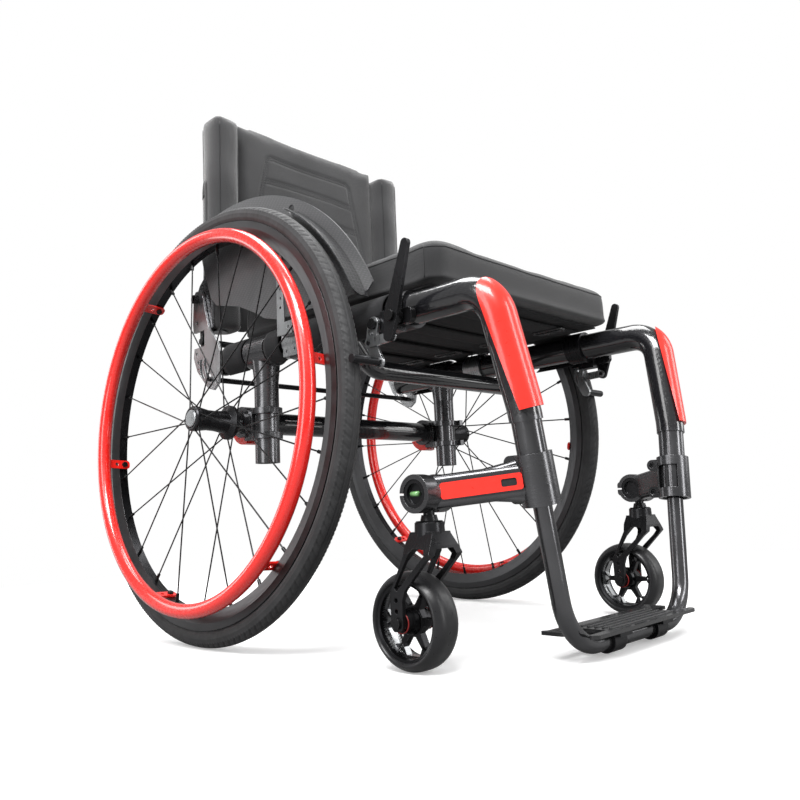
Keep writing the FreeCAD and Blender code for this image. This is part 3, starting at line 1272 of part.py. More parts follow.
def build():
    for side in SIDES:
        rear_tyre(side)
        rear_rim(side)
        rear_hub(side)
        hub_bearings(side)
        spokes(side)
        handrim(side)
        handrim_tabs(side)
        release_button(side)
        caster_fork(side)
        caster_bolts(side)
        caster_tyre(side)
        caster_rim(side)
        caster_bearings(side)
    quick_release_axles()
    arm, clamp_centre, barrel_centre = caster_arm()
    lever = brake_lever()
    link = brake_link()
    shoe_arm = brake_arm()
    for side in SIDES:
        keep_shape("brake_lever_" + side, on_side(lever, side))
        keep_shape("brake_link_" + side, on_side(link, side))
        keep_shape("brake_arm_" + side, on_side(shoe_arm, side))
    keep_shape("side_frames", both_sides(side_frame()))
    keep_shape("caster_arms", both_sides(arm))
    keep_shape("side_guards", both_sides(side_guard()))
    keep_shape("knee_covers", both_sides(knee_cover()))
    inlay = max(arm_inlay(clamp_centre, barrel_centre).cut(arm).Solids, key=lambda s: s.Volume)
    keep_shape("arm_inlays", both_sides(inlay))
    keep_shape("caster_barrels", both_sides(caster_barrel()))
    keep_shape("axle_posts", both_sides(axle_post()))
    keep_shape("camber_clamps", both_sides(camber_clamp()))
    keep_shape("clamp_caps", both_sides(clamp_cap()))
    keep_shape("guard_brackets", both_sides(guard_bracket()))
    keep_shape("back_brackets", both_sides(back_bracket()))
    keep_shape("back_posts", both_sides(back_post()))
    keep_shape("brake_rails", both_sides(brake_rail()))
    camber_tube()
    camber_plugs()
    footrest_tube()
    footplate()
    footplate_clamps()
    cross_tube()
    rear_strut()
    seat_sling()
    seat_cushion()
    lock_bar()
    rigidizer_bar()
    back_upholstery()
    frame_screws()


def check_and_write():
    """Writes every sub-part, after making sure that the document and each shape are sound."""
    DOC.recompute()
    for obj in DOC.Objects:
        if {"Invalid", "Error"} & set(obj.State):
            raise SystemExit("%s failed to build: %s" % (obj.Label, obj.State))
    for node, obj in PARTS.items():
        if obj.Shape.isNull() or not obj.Shape.isValid():
            raise SystemExit("%s has no valid shape" % node)
    os.makedirs("parts", exist_ok=True)
    for old in os.listdir("parts"):
        os.remove(os.path.join("parts", old))
    for node, obj in PARTS.items():
        obj.Shape.exportStep(os.path.join("parts", node + ".step"))
    print("wrote %d sub-parts" % len(PARTS))


build()
check_and_write()
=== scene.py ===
"""Looks for the rigid-frame manual wheelchair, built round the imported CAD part.

Row frame: +Z up, the user faces -Y, +X is the user's left, origin on the floor under the middle
of the chair. The rear axle line is at Y = AXLE_Y.
"""

import math

import bmesh
import bpy
from mathutils import Matrix, Vector
from mathutils.bvhtree import BVHTree


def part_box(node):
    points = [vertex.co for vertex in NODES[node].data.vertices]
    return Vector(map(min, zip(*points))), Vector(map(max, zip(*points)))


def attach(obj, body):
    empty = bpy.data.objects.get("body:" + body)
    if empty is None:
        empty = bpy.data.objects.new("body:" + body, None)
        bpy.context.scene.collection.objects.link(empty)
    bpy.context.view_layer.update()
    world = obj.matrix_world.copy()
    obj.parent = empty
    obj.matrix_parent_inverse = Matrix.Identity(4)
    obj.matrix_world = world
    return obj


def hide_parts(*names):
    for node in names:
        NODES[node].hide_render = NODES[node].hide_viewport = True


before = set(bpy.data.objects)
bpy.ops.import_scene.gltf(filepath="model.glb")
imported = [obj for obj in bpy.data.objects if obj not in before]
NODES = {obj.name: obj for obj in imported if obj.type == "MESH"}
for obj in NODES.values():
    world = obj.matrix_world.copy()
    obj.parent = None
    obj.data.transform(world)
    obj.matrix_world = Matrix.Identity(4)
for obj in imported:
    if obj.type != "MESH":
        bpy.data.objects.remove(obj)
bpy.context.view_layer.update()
SCENE = bpy.context.scene
MM = 0.001
SIDES = {"left": 1, "right": -1}
AXLE_Y = 96.5


def at(x, y, z):
    """A point of the row frame from millimetres."""
    return Vector((x, y, z)) * MM


# ---------------------------------------------------------------- material helpers


class Paint:
    """A small builder for one node material."""

    def __init__(self, name, colour, rough, metal=0.0, coat=0.0, sheen=0.0, specular=0.5):
        self.material = bpy.data.materials.new(name)
        self.material.use_nodes = True
        self.tree = self.material.node_tree
        self.shader = self.tree.nodes["Principled BSDF"]
        self.shader.inputs["Base Color"].default_value = (*colour, 1)
        self.shader.inputs["Roughness"].default_value = rough
        self.shader.inputs["Metallic"].default_value = metal
        self.shader.inputs["Coat Weight"].default_value = coat
        self.shader.inputs["Coat Roughness"].default_value = 0.06
        self.shader.inputs["Sheen Weight"].default_value = sheen
        self.shader.inputs["Specular IOR Level"].default_value = specular
        self.colour = colour
        self.rough = rough
        self.place = self.node("ShaderNodeTexCoord").outputs["Object"]
        self.normal = None

    def node(self, kind, **settings):
        made = self.tree.nodes.new(kind)
        for key, value in settings.items():
            setattr(made, key, value)
        return made

    def wire(self, source, target):
        if hasattr(source, "links"):
            self.tree.links.new(source, target)
        else:
            target.default_value = source

    def math(self, operation, *values):
        made = self.node("ShaderNodeMath", operation=operation)
        for value, socket in zip(values, made.inputs):
            self.wire(value, socket)
        return made.outputs[0]

    def stretched(self, scale):
        """The object's own coordinates, in metres, scaled along each axis."""
        made = self.node("ShaderNodeMapping")
        self.wire(self.place, made.inputs["Vector"])
        made.inputs["Scale"].default_value = scale
        return made.outputs[0]

    def noise(self, scale, detail=3.0, vector=None):
        made = self.node("ShaderNodeTexNoise")
        self.wire(self.place if vector is None else vector, made.inputs["Vector"])
        made.inputs["Scale"].default_value = scale
        made.inputs["Detail"].default_value = detail
        return made.outputs["Fac"]

    def spread(self, factor, low, high, start=0.3, end=0.7):
        """Maps a factor from start..end to low..high."""
        made = self.node("ShaderNodeMapRange")
        self.wire(factor, made.inputs["Value"])
        for key, value in (("From Min", start), ("From Max", end), ("To Min", low), ("To Max", high)):
            made.inputs[key].default_value = value
        return made.outputs[0]

    def tint(self, factor, first, second):
        """Mixes two colours by a factor."""
        made = self.node("ShaderNodeMix", data_type="RGBA")
        self.wire(factor, made.inputs[0])
        for value, socket in ((first, made.inputs[6]), (second, made.inputs[7])):
            self.wire(value if hasattr(value, "links") else (*value, 1), socket)
        return made.outputs[2]

    def set_colour(self, socket):
        self.wire(socket, self.shader.inputs["Base Color"])

    def set_rough(self, socket):
        self.wire(socket, self.shader.inputs["Roughness"])

    def bump(self, height, strength, distance):
        made = self.node("ShaderNodeBump")
        made.inputs["Strength"].default_value = strength
        made.inputs["Distance"].default_value = distance
        self.wire(height, made.inputs["Height"])
        if self.normal is not None:
            self.wire(self.normal, made.inputs["Normal"])
        self.normal = made.outputs[0]
        self.wire(self.normal, self.shader.inputs["Normal"])

    def soften_edges(self, radius, wear_and_highlight=0.0, worn_and_highlight=(0.6, 0.6, 0.6)):
        """Rounds the look of sharp edges, and lightens them a little in patches: partly rubbed wear, partly
        a painted edge highlight.
        """
        made = self.node("ShaderNodeBevel", samples=4)
        made.inputs["Radius"].default_value = radius
        self.normal = made.outputs[0]
        self.wire(self.normal, self.shader.inputs["Normal"])
        if not wear_and_highlight:
            return
        flat = self.node("ShaderNodeNewGeometry").outputs["Normal"]
        dot = self.node("ShaderNodeVectorMath", operation="DOT_PRODUCT")
        self.wire(self.normal, dot.inputs[0])
        self.wire(flat, dot.inputs[1])
        # Every rounded edge gets a lighter colour: part wear, part painted highlight.
        edge = self.spread(dot.outputs["Value"], wear_and_highlight, 0.0, 0.80, 0.985)
        patchy = self.math("MULTIPLY", edge, self.spread(self.noise(90, 4), 0.2, 1.0))
        current = self.shader.inputs["Base Color"]
        base = current.links[0].from_socket if current.links else self.colour
        self.set_colour(self.tint(patchy, base, worn_and_highlight))

    def wave(self, coordinate, pitch):
        """A rounded wave from 0 to 1 along a coordinate in metres."""
        return self.math("ABSOLUTE", self.math("SINE", self.math("MULTIPLY", coordinate, math.pi / pitch)))

    def split(self):
        made = self.node("ShaderNodeSeparateXYZ")
        self.wire(self.place, made.inputs[0])
        return made.outputs

    def twill(self, across, up, pitch):
        """A 2/2 twill: (which thread is on top, rounded thread height) for two coordinates in metres."""
        u = self.math("MULTIPLY", across, 1 / pitch)
        v = self.math("MULTIPLY", up, 1 / pitch)
        step = self.math("ADD", self.math("FLOOR", u), self.math("FLOOR", v))
        top = self.math("LESS_THAN", self.math("FLOORED_MODULO", step, 4.0), 1.5)
        warp = self.wave(across, pitch)
        weft = self.wave(up, pitch)
        chosen = self.node("ShaderNodeMix", data_type="FLOAT")
        for value, socket in ((top, chosen.inputs[0]), (warp, chosen.inputs[2]), (weft, chosen.inputs[3])):
            self.wire(value, socket)
        return top, chosen.outputs[0]


def shades(colour, factor):
    return tuple(min(1.0, c * factor) for c in colour)


def metal_paint(name, colour, rough, grain=(40, 40, 900), metal=0.9, wear_and_highlight=0.25,
                worn_and_highlight=(0.55, 0.55, 0.55), edge=0.0006):
    """Machined or anodised metal: fine directional grain, soft patches, and lighter edges that are partly
    rubbed wear and partly a painted highlight.
    """
    paint = Paint(name, colour, rough, metal)
    streak = paint.noise(1.0, 5, paint.stretched(grain))
    patch = paint.noise(14, 3)
    paint.set_colour(paint.tint(paint.spread(patch, 0.0, 1.0), shades(colour, 0.82), shades(colour, 1.15)))
    broad = paint.spread(patch, rough - 0.05, rough + 0.05)
    paint.set_rough(paint.math("ADD", paint.spread(streak, -0.06, 0.06), broad))
    paint.soften_edges(edge, wear_and_highlight, worn_and_highlight)
    paint.bump(patch, 0.05, 0.0006)
    paint.bump(streak, 0.03, 0.0001)
    return paint.material


DOT_PITCH = 0.0052
STRIPE_CENTRE = 0.105
STRIPE_HALF_LENGTH = 0.035
STRIPE_HEIGHT = 0.2985
STRIPE_SPREAD = 0.0032
STRIPE_HALF_WIDTH = 0.0007


def stripe_mask(paint, x, z):
    """Two short level lines on each half of the camber tube."""

    def distance(value, middle):
        return paint.math("ABSOLUTE", paint.math("SUBTRACT", value, middle))

    reach = distance(paint.math("ABSOLUTE", x), STRIPE_CENTRE)
    line = distance(distance(z, STRIPE_HEIGHT), STRIPE_SPREAD)
    along = paint.math("LESS_THAN", reach, STRIPE_HALF_LENGTH)
    return paint.math("MULTIPLY", along, paint.math("LESS_THAN", line, STRIPE_HALF_WIDTH))


def carbon_paint(name, colour, thread, rough, coat, pitch, along="y", strength=0.3,
                 stripes=False, dots=False):
    """Carbon weave under lacquer, laid over the piece by two of its own coordinates."""
    paint = Paint(name, colour, rough, 0.0, coat)
    x, y, z = paint.split()
    across = {"y": y, "panel": y, "x": x}[along]
    up = z if along != "y" else paint.math("ADD", z, x)
    top, height = paint.twill(across, up, pitch)
    depth = paint.math("MULTIPLY", height, paint.spread(top, 0.62, 1.0, 0, 1))
    if dots:
        holes = paint.math("MULTIPLY", paint.wave(across, DOT_PITCH), paint.wave(up, DOT_PITCH))
        depth = paint.math("MULTIPLY", depth, paint.spread(holes, 1.0, 0.05, 0.45, 0.6))
        height = paint.math("MULTIPLY", height, paint.spread(holes, 1.0, 0.0, 0.4, 0.6))
    weave = paint.tint(depth, colour, thread)
    if stripes:
        weave = paint.tint(stripe_mask(paint, x, z), weave, (0.5, 0.5, 0.5))
    paint.set_colour(weave)
    paint.set_rough(paint.spread(paint.noise(18, 4), rough - 0.04, rough + 0.08))
    paint.bump(height, strength, 0.00015)
    return paint.material


def fabric_paint(name, colour, pitch, sheen=0.25, across="x", up="z", mottle=0.3, bump=0.5, rough=0.85):
    """Woven or knitted cloth: threads, a fine nap and broad uneven shading."""
    paint = Paint(name, colour, rough, 0.0, 0.0, sheen, 0.25)
    axes = dict(zip("xyz", paint.split()))
    top, height = paint.twill(axes[across], axes[up], pitch)
    nap = paint.noise(1400, 2)
    broad = paint.noise(11, 4)
    shade = paint.tint(paint.spread(broad, 0.0, 1.0), shades(colour, 1 - mottle), shades(colour, 1 + mottle))
    threads = paint.math("MULTIPLY", height, paint.spread(nap, 0.55, 1.0))
    paint.set_colour(paint.tint(paint.spread(threads, 0.0, 0.35, 0, 1), shade, shades(colour, 1.9)))
    paint.bump(threads, bump, 0.0003)
    paint.bump(paint.noise(60, 3), 0.12, 0.001)
    return paint.material


def painted(name, colour, rough, coat, peel=0.02, metal=0.0):
    """Lacquer with a faint orange peel and soft variation."""
    paint = Paint(name, colour, rough, metal, coat)
    patch = paint.noise(7, 3)
    paint.set_colour(paint.tint(paint.spread(patch, 0.0, 1.0), shades(colour, 0.93), shades(colour, 1.05)))
    paint.set_rough(paint.spread(paint.noise(160, 5), rough - 0.03, rough + 0.05))
    paint.bump(paint.noise(240, 1), peel, 0.0003)
    return paint.material


def rubber_paint(name, colour, rough, grain=900):
    """Rubber with a fine pebble, patchy dust and a faint bloom."""
    paint = Paint(name, colour, rough, 0.0, 0.0, 0.08, 0.35)
    dust = paint.noise(35, 5)
    paint.set_colour(paint.tint(paint.spread(dust, 0.0, 1.0), shades(colour, 0.8), shades(colour, 1.5)))
    paint.set_rough(paint.spread(paint.noise(120, 3), rough - 0.08, rough + 0.08))
    paint.bump(paint.noise(grain, 3), 0.25, 0.0003)
    return paint.material


CARBON = carbon_paint("carbon_gloss", (0.005, 0.005, 0.006), (0.016, 0.016, 0.018), 0.12, 1.0, 0.0022)
CAMBER = carbon_paint("carbon_camber", (0.006, 0.006, 0.007), (0.02, 0.02, 0.022), 0.16, 0.8, 0.0022,
                      stripes=True)
GUARD = carbon_paint("carbon_guard", (0.040, 0.040, 0.042), (0.095, 0.095, 0.098), 0.34, 0.3, 0.0022,
                     "panel", 0.4)
LIP = carbon_paint("carbon_lip", (0.008, 0.008, 0.009), (0.042, 0.042, 0.044), 0.34, 0.3, 0.0022,
                   "x", 0.8, dots=True)
GRAPHITE = metal_paint("graphite", (0.115, 0.115, 0.12), 0.24)
GRAPHITE_TUBE = metal_paint("graphite_tube", (0.120, 0.120, 0.125), 0.18, (420, 420, 9), 0.9, 0.1)
DARK = metal_paint("dark_metal", (0.026, 0.026, 0.028), 0.30, (60, 500, 60), 0.8, 0.35, (0.25, 0.25, 0.26))
BLACK_RIM = metal_paint("black_rim", (0.022, 0.022, 0.024), 0.26, (900, 30, 30), 0.85, 0.15, (0.3, 0.3, 0.3))
# Lighter grey metal for the rear rims' flanks: a painted reflection band on the black rim.
RIM_SIDE_PAINTED_REFLECTION = metal_paint("rim_side_painted_reflection", (0.075, 0.075, 0.078), 0.36, (900, 30, 30), 0.9, 0.15, (0.5, 0.5, 0.5))
SILVER = metal_paint("silver", (0.46, 0.47, 0.48), 0.30, (60, 900, 60), 1.0, 0.3, (0.85, 0.85, 0.85))
CAP_SILVER = metal_paint("cap_silver", (0.36, 0.37, 0.38), 0.26, (60, 60, 60), 1.0, 0.2, (0.8, 0.8, 0.8))
BLACK_STEEL = metal_paint("black_steel", (0.022, 0.022, 0.023), 0.28, (200, 200, 200), 0.75, 0.3,
                          (0.3, 0.3, 0.3), 0.0003)
RED_RIM = painted("red_gloss", (0.80, 0.014, 0.009), 0.26, 1.0)
RED_COVER = painted("red_satin", (0.90, 0.026, 0.015), 0.30, 0.5, 0.05)
PLASTIC = painted("black_plastic", (0.014, 0.014, 0.015), 0.28, 0.4, 0.2)
SLOT_BLACK = painted("recess_black", (0.010, 0.010, 0.011), 0.5, 0.0, 0.2)
GREEN = painted("level_green", (0.16, 0.36, 0.13), 0.15, 0.8)
TYRE = rubber_paint("tyre_rubber", (0.019, 0.019, 0.020), 0.60)
DARK_RED = painted("red_seal", (0.20, 0.006, 0.005), 0.4, 0.1)
CASTER_RUBBER = rubber_paint("caster_rubber", (0.011, 0.011, 0.012), 0.34, 500)
BACK_CLOTH = fabric_paint("back_cloth", (0.029, 0.029, 0.030), 0.0011, 0.3)
BOLSTER_CLOTH = fabric_paint("bolster_cloth", (0.021, 0.021, 0.022), 0.0009, 0.6, "y", "z", 0.5)
CUSHION_CLOTH = fabric_paint("cushion_cloth", (0.018, 0.018, 0.019), 0.0012, 0.25, "x", "z", 0.25)
# The sling cloth is darker than its own colour: part of its darkness is painted shade under the seat.
SLING_CLOTH_PAINTED_SHADE = fabric_paint("sling_cloth_painted_shade", (0.010, 0.010, 0.011), 0.0018, 0.05, "x", "y", 0.2)
WEBBING = fabric_paint("webbing", (0.012, 0.012, 0.013), 0.0024, 0.05, "x", "y", 0.2, 0.9)
THREAD = fabric_paint("thread", (0.050, 0.050, 0.052), 0.0006, 0.2)
PIPING = fabric_paint("piping", (0.014, 0.014, 0.015), 0.0009, 0.2)

# ---------------------------------------------------------------- looks of the CAD nodes

LOOKS = {
    CARBON: ["side_frames", "cross_tube"],
    CAMBER: ["camber_tube"],
    GUARD: ["side_guards"],
    GRAPHITE: ["caster_arms", "axle_posts", "camber_clamps", "back_posts"],
    GRAPHITE_TUBE: ["footrest_tube"],
    DARK: ["rear_hub_", "caster_fork_", "brake_lever_", "caster_barrels", "brake_rails", "camber_plugs",
           "rear_strut", "lock_bar", "rigidizer_bar", "footplate_clamps"],
    BLACK_RIM: ["rear_rim_", "caster_rim_"],
    SILVER: ["brake_link_", "brake_arm_", "guard_brackets", "back_brackets", "hub_bearings_",
             "caster_bearings_", "quick_release_axles"],
    CAP_SILVER: ["release_button_"],
    BLACK_STEEL: ["spokes_", "caster_bolts_", "frame_screws"],
    RED_RIM: ["handrim_tabs_", "handrim_"],
    RED_COVER: ["knee_covers", "arm_inlays", "clamp_caps"],
    PLASTIC: ["footplate"],
    CASTER_RUBBER: ["caster_tyre_"],
}


def dress(node, *materials):
    """Gives a CAD node its materials; the first covers every face."""
    mesh = NODES[node].data
    mesh.materials.clear()
    for material in materials:
        mesh.materials.append(material)
    mesh.polygons.foreach_set("material_index", [0] * len(mesh.polygons))


for material, names in LOOKS.items():
    for name in names:
        for node in ([name + side for side in SIDES] if name.endswith("_") else [name]):
            dress(node, material)


def repaint(node, material, wanted):
    """Gives the faces of a CAD node whose centre and normal pass wanted() another material."""
    mesh = NODES[node].data
    mesh.materials.append(material)
    index = len(mesh.materials) - 1
    for face in mesh.polygons:
        if wanted(face.center / MM, face.normal):
            face.material_index = index


def wheel_matrix(side):
    """The place of a cambered rear wheel, with its own +X outboard."""
    sign = SIDES[side]
    tilt = Matrix.Rotation(math.radians(-3 * sign), 4, "Y")
    facing = Matrix() if sign > 0 else Matrix.Rotation(math.pi, 4, "Z")
    return Matrix.Translation(at(257 * sign, AXLE_Y, 297.6)) @ tilt @ facing


def in_recess(c, n):
    """The floor of the small recess near the front end of a caster arm's inlay."""
    line = 189.3 - 0.101 * (c.y + 359.9)
    return -354.5 < c.y < -337 and abs(c.z - line) < 3.8 and abs(n.x) > 0.6


repaint("side_guards", LIP, lambda c, n: abs(c.x) > 219.2)
repaint("side_frames", GRAPHITE_TUBE, lambda c, n: c.z < 256 and c.y < AXLE_Y - 400)
repaint("arm_inlays", SLOT_BLACK, in_recess)
for side in SIDES:
    back = wheel_matrix(side).inverted()

    def is_tab_screw(c, n, back=back):
        local = back @ (c * MM) / MM
        return abs(local.x) < 4.3 and math.hypot(local.y, local.z) < 248.3

    # The rim's flank faces, which get the lighter metal as painted reflection.
    def is_rim_side_painted_reflection(c, n, back=back):
        local = back @ (c * MM) / MM
        return math.hypot(local.y, local.z) > 256 and abs((back.to_3x3() @ n).x) > 0.5

    def is_caster_bore(c, n):
        out = Vector((0, c.y - AXLE_Y + 343, c.z - 50.8))
        return 26 < out.length < 37 and out.normalized().dot(n) < -0.5

    repaint("handrim_tabs_" + side, BLACK_STEEL, is_tab_screw)
    repaint("rear_rim_" + side, RIM_SIDE_PAINTED_REFLECTION, is_rim_side_painted_reflection)
    repaint("caster_rim_" + side, SILVER, is_caster_bore)
    repaint("brake_arm_" + side, DARK, lambda c, n: abs(c.x) > 227.0)

# ---------------------------------------------------------------- mesh helpers


def new_object(name, vertices, faces, material, smooth=True):
    mesh = bpy.data.meshes.new(name)
    mesh.from_pydata([tuple(v) for v in vertices], [], faces)
    mesh.update()
    obj = bpy.data.objects.new(name, mesh)
    SCENE.collection.objects.link(obj)
    mesh.materials.append(material)
    mesh.polygons.foreach_set("use_smooth", [smooth] * len(mesh.polygons))
    return obj


def finish_piece(obj, body, slot, *replaced):
    """Puts a piece on its body and hides the CAD nodes it stands for; the slot argument is not used."""
    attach(obj, body)
    if replaced:
        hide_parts(*replaced)
    return obj


def baked(obj):
    """Applies an object's modifiers to its mesh."""
    graph = bpy.context.evaluated_depsgraph_get()
    mesh = bpy.data.meshes.new_from_object(obj.evaluated_get(graph))
    obj.modifiers.clear()
    obj.data = mesh
    return obj


def tube_data(points, radius, sides=8, closed=False):
    """Vertices and faces of a round cord along points."""
    count = len(points)
    tangents = []
    for i in range(count):
        before = points[(i - 1) % count] if closed or i else points[0]
        after = points[(i + 1) % count] if closed or i < count - 1 else points[-1]
        tangents.append((after - before).normalized())
    side = tangents[0].orthogonal().normalized()
    vertices, faces = [], []
    for point, tangent in zip(points, tangents):
        side = (side - tangent * side.dot(tangent)).normalized()
        other = tangent.cross(side)
        for k in range(sides):
            angle = 2 * math.pi * k / sides
            vertices.append(point + (side * math.cos(angle) + other * math.sin(angle)) * radius)
    rings = count if closed else count - 1
    for i in range(rings):
        a, b = i * sides, ((i + 1) % count) * sides
        faces += [(a + k, a + (k + 1) % sides, b + (k + 1) % sides, b + k) for k in range(sides)]
    if not closed:
        faces.append(tuple(reversed(range(sides))))
        faces.append(tuple(range((count - 1) * sides, count * sides)))
    return vertices, faces


def joined(groups):
    """Several (vertices, faces) groups as one."""
    vertices, faces = [], []
    for some, polygons in groups:
        shift = len(vertices)
        vertices += some
        faces += [tuple(i + shift for i in polygon) for polygon in polygons]
    return vertices, faces


def resampled(points, step, closed=False):
    """The same path with evenly spaced points."""
    path = points + [points[0]] if closed else points
    lengths = [0.0]
    for a, b in zip(path[:-1], path[1:]):
        lengths.append(lengths[-1] + (b - a).length)
    count = max(2, round(lengths[-1] / step))
    result, j = [], 0
    for i in range(count if closed else count + 1):
        target = lengths[-1] * i / count
        while j < len(lengths) - 2 and lengths[j + 1] < target:
            j += 1
        share = (target - lengths[j]) / max(lengths[j + 1] - lengths[j], 1e-9)
        result.append(path[j].lerp(path[j + 1], share))
    return result


def stitches(points, closed=False, pitch=5.0, length=3.4, radius=0.45):
    """Short threads laid along a path."""
    spots = resampled(points, pitch * MM, closed)
    groups = []
    for a, b in zip(spots[:-1], spots[1:]):
        way = (b - a).normalized() * length * MM / 2
        middle = (a + b) / 2
        groups.append(tube_data([middle - way, middle, middle + way], radius * MM, 5))
    return joined(groups)


TREES = {}


def surface_tree(obj):
    """A search tree of an object's surface, kept for its next use."""
    key = (obj.name, len(obj.data.vertices))
    if key not in TREES:
        mesh = obj.data
        TREES[key] = BVHTree.FromPolygons([v.co for v in mesh.vertices], [p.vertices for p in mesh.polygons])
    return TREES[key]


def laid_on(obj, points, lift=0.0):
    """Points moved to an object's nearest surface, then lifted off it."""
    tree = surface_tree(obj)
    moved = []
    for point in points:
        spot, normal, _, _ = tree.find_nearest(point)
        moved.append(spot + normal * lift)
    return moved


def laid_normal(obj, point):
    """The outward direction of an object's surface nearest to a point."""
    tree = surface_tree(obj)
    return tree.find_nearest(point)[1]


def shell_faces(across, down):
    """Faces of a closed shell made of two like grids of points, down rows of across points each."""
    total = across * down
    faces = []
    for j in range(down - 1):
        for i in range(across - 1):
            a = j * across + i
            quad = (a, a + 1, a + across + 1, a + across)
            faces += [quad, tuple(reversed([k + total for k in quad]))]
    rim = list(range(across)) + [j * across + across - 1 for j in range(1, down)]
    rim += [total - across + i for i in range(across - 2, -1, -1)]
    rim += [j * across for j in range(down - 2, 0, -1)]
    faces += [(b, a, a + total, b + total) for a, b in zip(rim, rim[1:] + rim[:1])]
    return faces


def puff(obj, voxel, pressure, cap, hold=None):
    """Fills a closed cloth shape with pressure by simulation, and limits how far each point moves."""
    remesh = obj.modifiers.new("Even", "REMESH")
    remesh.mode = "VOXEL"
    remesh.voxel_size = voxel * MM
    baked(obj)
    rest = [v.co.copy() for v in obj.data.vertices]
    cloth = obj.modifiers.new("Fill", "CLOTH")
    cloth.settings.quality = 5
    cloth.settings.mass = 0.25
    cloth.settings.tension_stiffness = 12
    cloth.settings.compression_stiffness = 12
    cloth.settings.bending_stiffness = 0.6
    cloth.settings.use_pressure = True
    cloth.settings.uniform_pressure_force = pressure
    cloth.settings.effector_weights.gravity = 0
    cloth.point_cache.frame_start = 1
    cloth.point_cache.frame_end = 20
    for number in range(1, 21):
        SCENE.frame_set(number)
    graph = bpy.context.evaluated_depsgraph_get()
    filled = [v.co.copy() for v in obj.evaluated_get(graph).data.vertices]
    obj.modifiers.clear()
    SCENE.frame_set(1)
    for vertex, start, end in zip(obj.data.vertices, rest, filled):
        move = end - start
        limit = cap * MM * (1.0 if hold is None else hold(start / MM))
        if move.length > limit:
            move = move.normalized() * limit
        vertex.co = start + move
    smooth = obj.modifiers.new("Round", "SMOOTH")
    smooth.factor = 0.5
    smooth.iterations = 7
    level = obj.modifiers.new("Fine", "SUBSURF")
    level.levels = 1
    baked(obj)
    obj.data.polygons.foreach_set("use_smooth", [True] * len(obj.data.polygons))
    return obj


def sweep_block(outline, spine, name, material):
    """A closed block: a flat outline carried along a list of (offset, scale) stations."""
    count = len(outline)
    vertices, faces = [], []
    for offset, scale, middle in spine:
        vertices += [offset + (point - middle) * scale + middle for point in outline]
    for i in range(len(spine) - 1):
        a, b = i * count, (i + 1) * count
        faces += [(a + k, a + (k + 1) % count, b + (k + 1) % count, b + k) for k in range(count)]
    faces.append(tuple(reversed(range(count))))
    faces.append(tuple(range((len(spine) - 1) * count, len(spine) * count)))
    return new_object(name, vertices, faces, material)


def rounded_rectangle(low, high, radius, steps=6):
    """(u, v) corners of a rounded rectangle, anticlockwise."""
    points = []
    centres = [(high[0] - radius, high[1] - radius), (low[0] + radius, high[1] - radius),
               (low[0] + radius, low[1] + radius), (high[0] - radius, low[1] + radius)]
    for quarter, (u, v) in enumerate(centres):
        for i in range(steps + 1):
            angle = math.radians(90 * (quarter + i / steps))
            points.append((u + radius * math.cos(angle), v + radius * math.sin(angle)))
    return points


# ---------------------------------------------------------------- rear tyres

TREADS = 160
TREAD_STEPS = 6
SECTION = 60


def tyre_relief(s, step):
    """How far the tyre's surface stands off its round section, by arc length from the crown."""
    a = abs(s)
    lift = -0.9 * math.exp(-((a - 3.4) / 0.75) ** 2)
    if 4.8 < a < 12.2 and step == 0:
        lift -= 1.3
    if 12.2 <= a < 14.4:
        lift += 0.7 if step in (1, 2, 4, 5) else -0.2
    lift += 0.45 * math.exp(-((a - 19.0) / 0.8) ** 2)
    lift += 0.35 * math.exp(-((a - 24.5) / 0.7) ** 2)
    return lift


def rear_tyre(side):
    """A slick-shouldered tyre with two centre grooves, slanting cuts, a stepped shoulder and wall lines."""
    around = TREADS * TREAD_STEPS
    section = []
    for j in range(SECTION):
        phi = math.radians(-42 + 264 * j / (SECTION - 1))
        section.append((phi, 13.0 * (math.pi / 2 - phi)))
    vertices, faces = [], []
    for i in range(around):
        for phi, s in section:
            grow = 13.0 + tyre_relief(s, i % TREAD_STEPS)
            skew = min(abs(s), 13.0) * 0.45
            theta = 2 * math.pi * (i + skew) / around
            radius = 284.9 + grow * math.sin(phi)
            vertices.append(at(grow * math.cos(phi), radius * math.cos(theta), radius * math.sin(theta)))
        for x in (-9.3, 9.3):
            theta = 2 * math.pi * (i + 13.0 * 0.45) / around
            vertices.append(at(x, 272.6 * math.cos(theta), 272.6 * math.sin(theta)))
    ring = SECTION + 2
    for i in range(around):
        a, b = i * ring, ((i + 1) % around) * ring
        faces += [(a + k, a + (k + 1) % ring, b + (k + 1) % ring, b + k) for k in range(ring)]
    place = wheel_matrix(side)
    obj = new_object("tyre_" + side, [place @ v for v in vertices], faces, TYRE)
    return finish_piece(obj, "rear_wheel_" + side, "tyre_rubber", "rear_tyre_" + side)


for side in SIDES:
    rear_tyre(side)

# ---------------------------------------------------------------- cushion

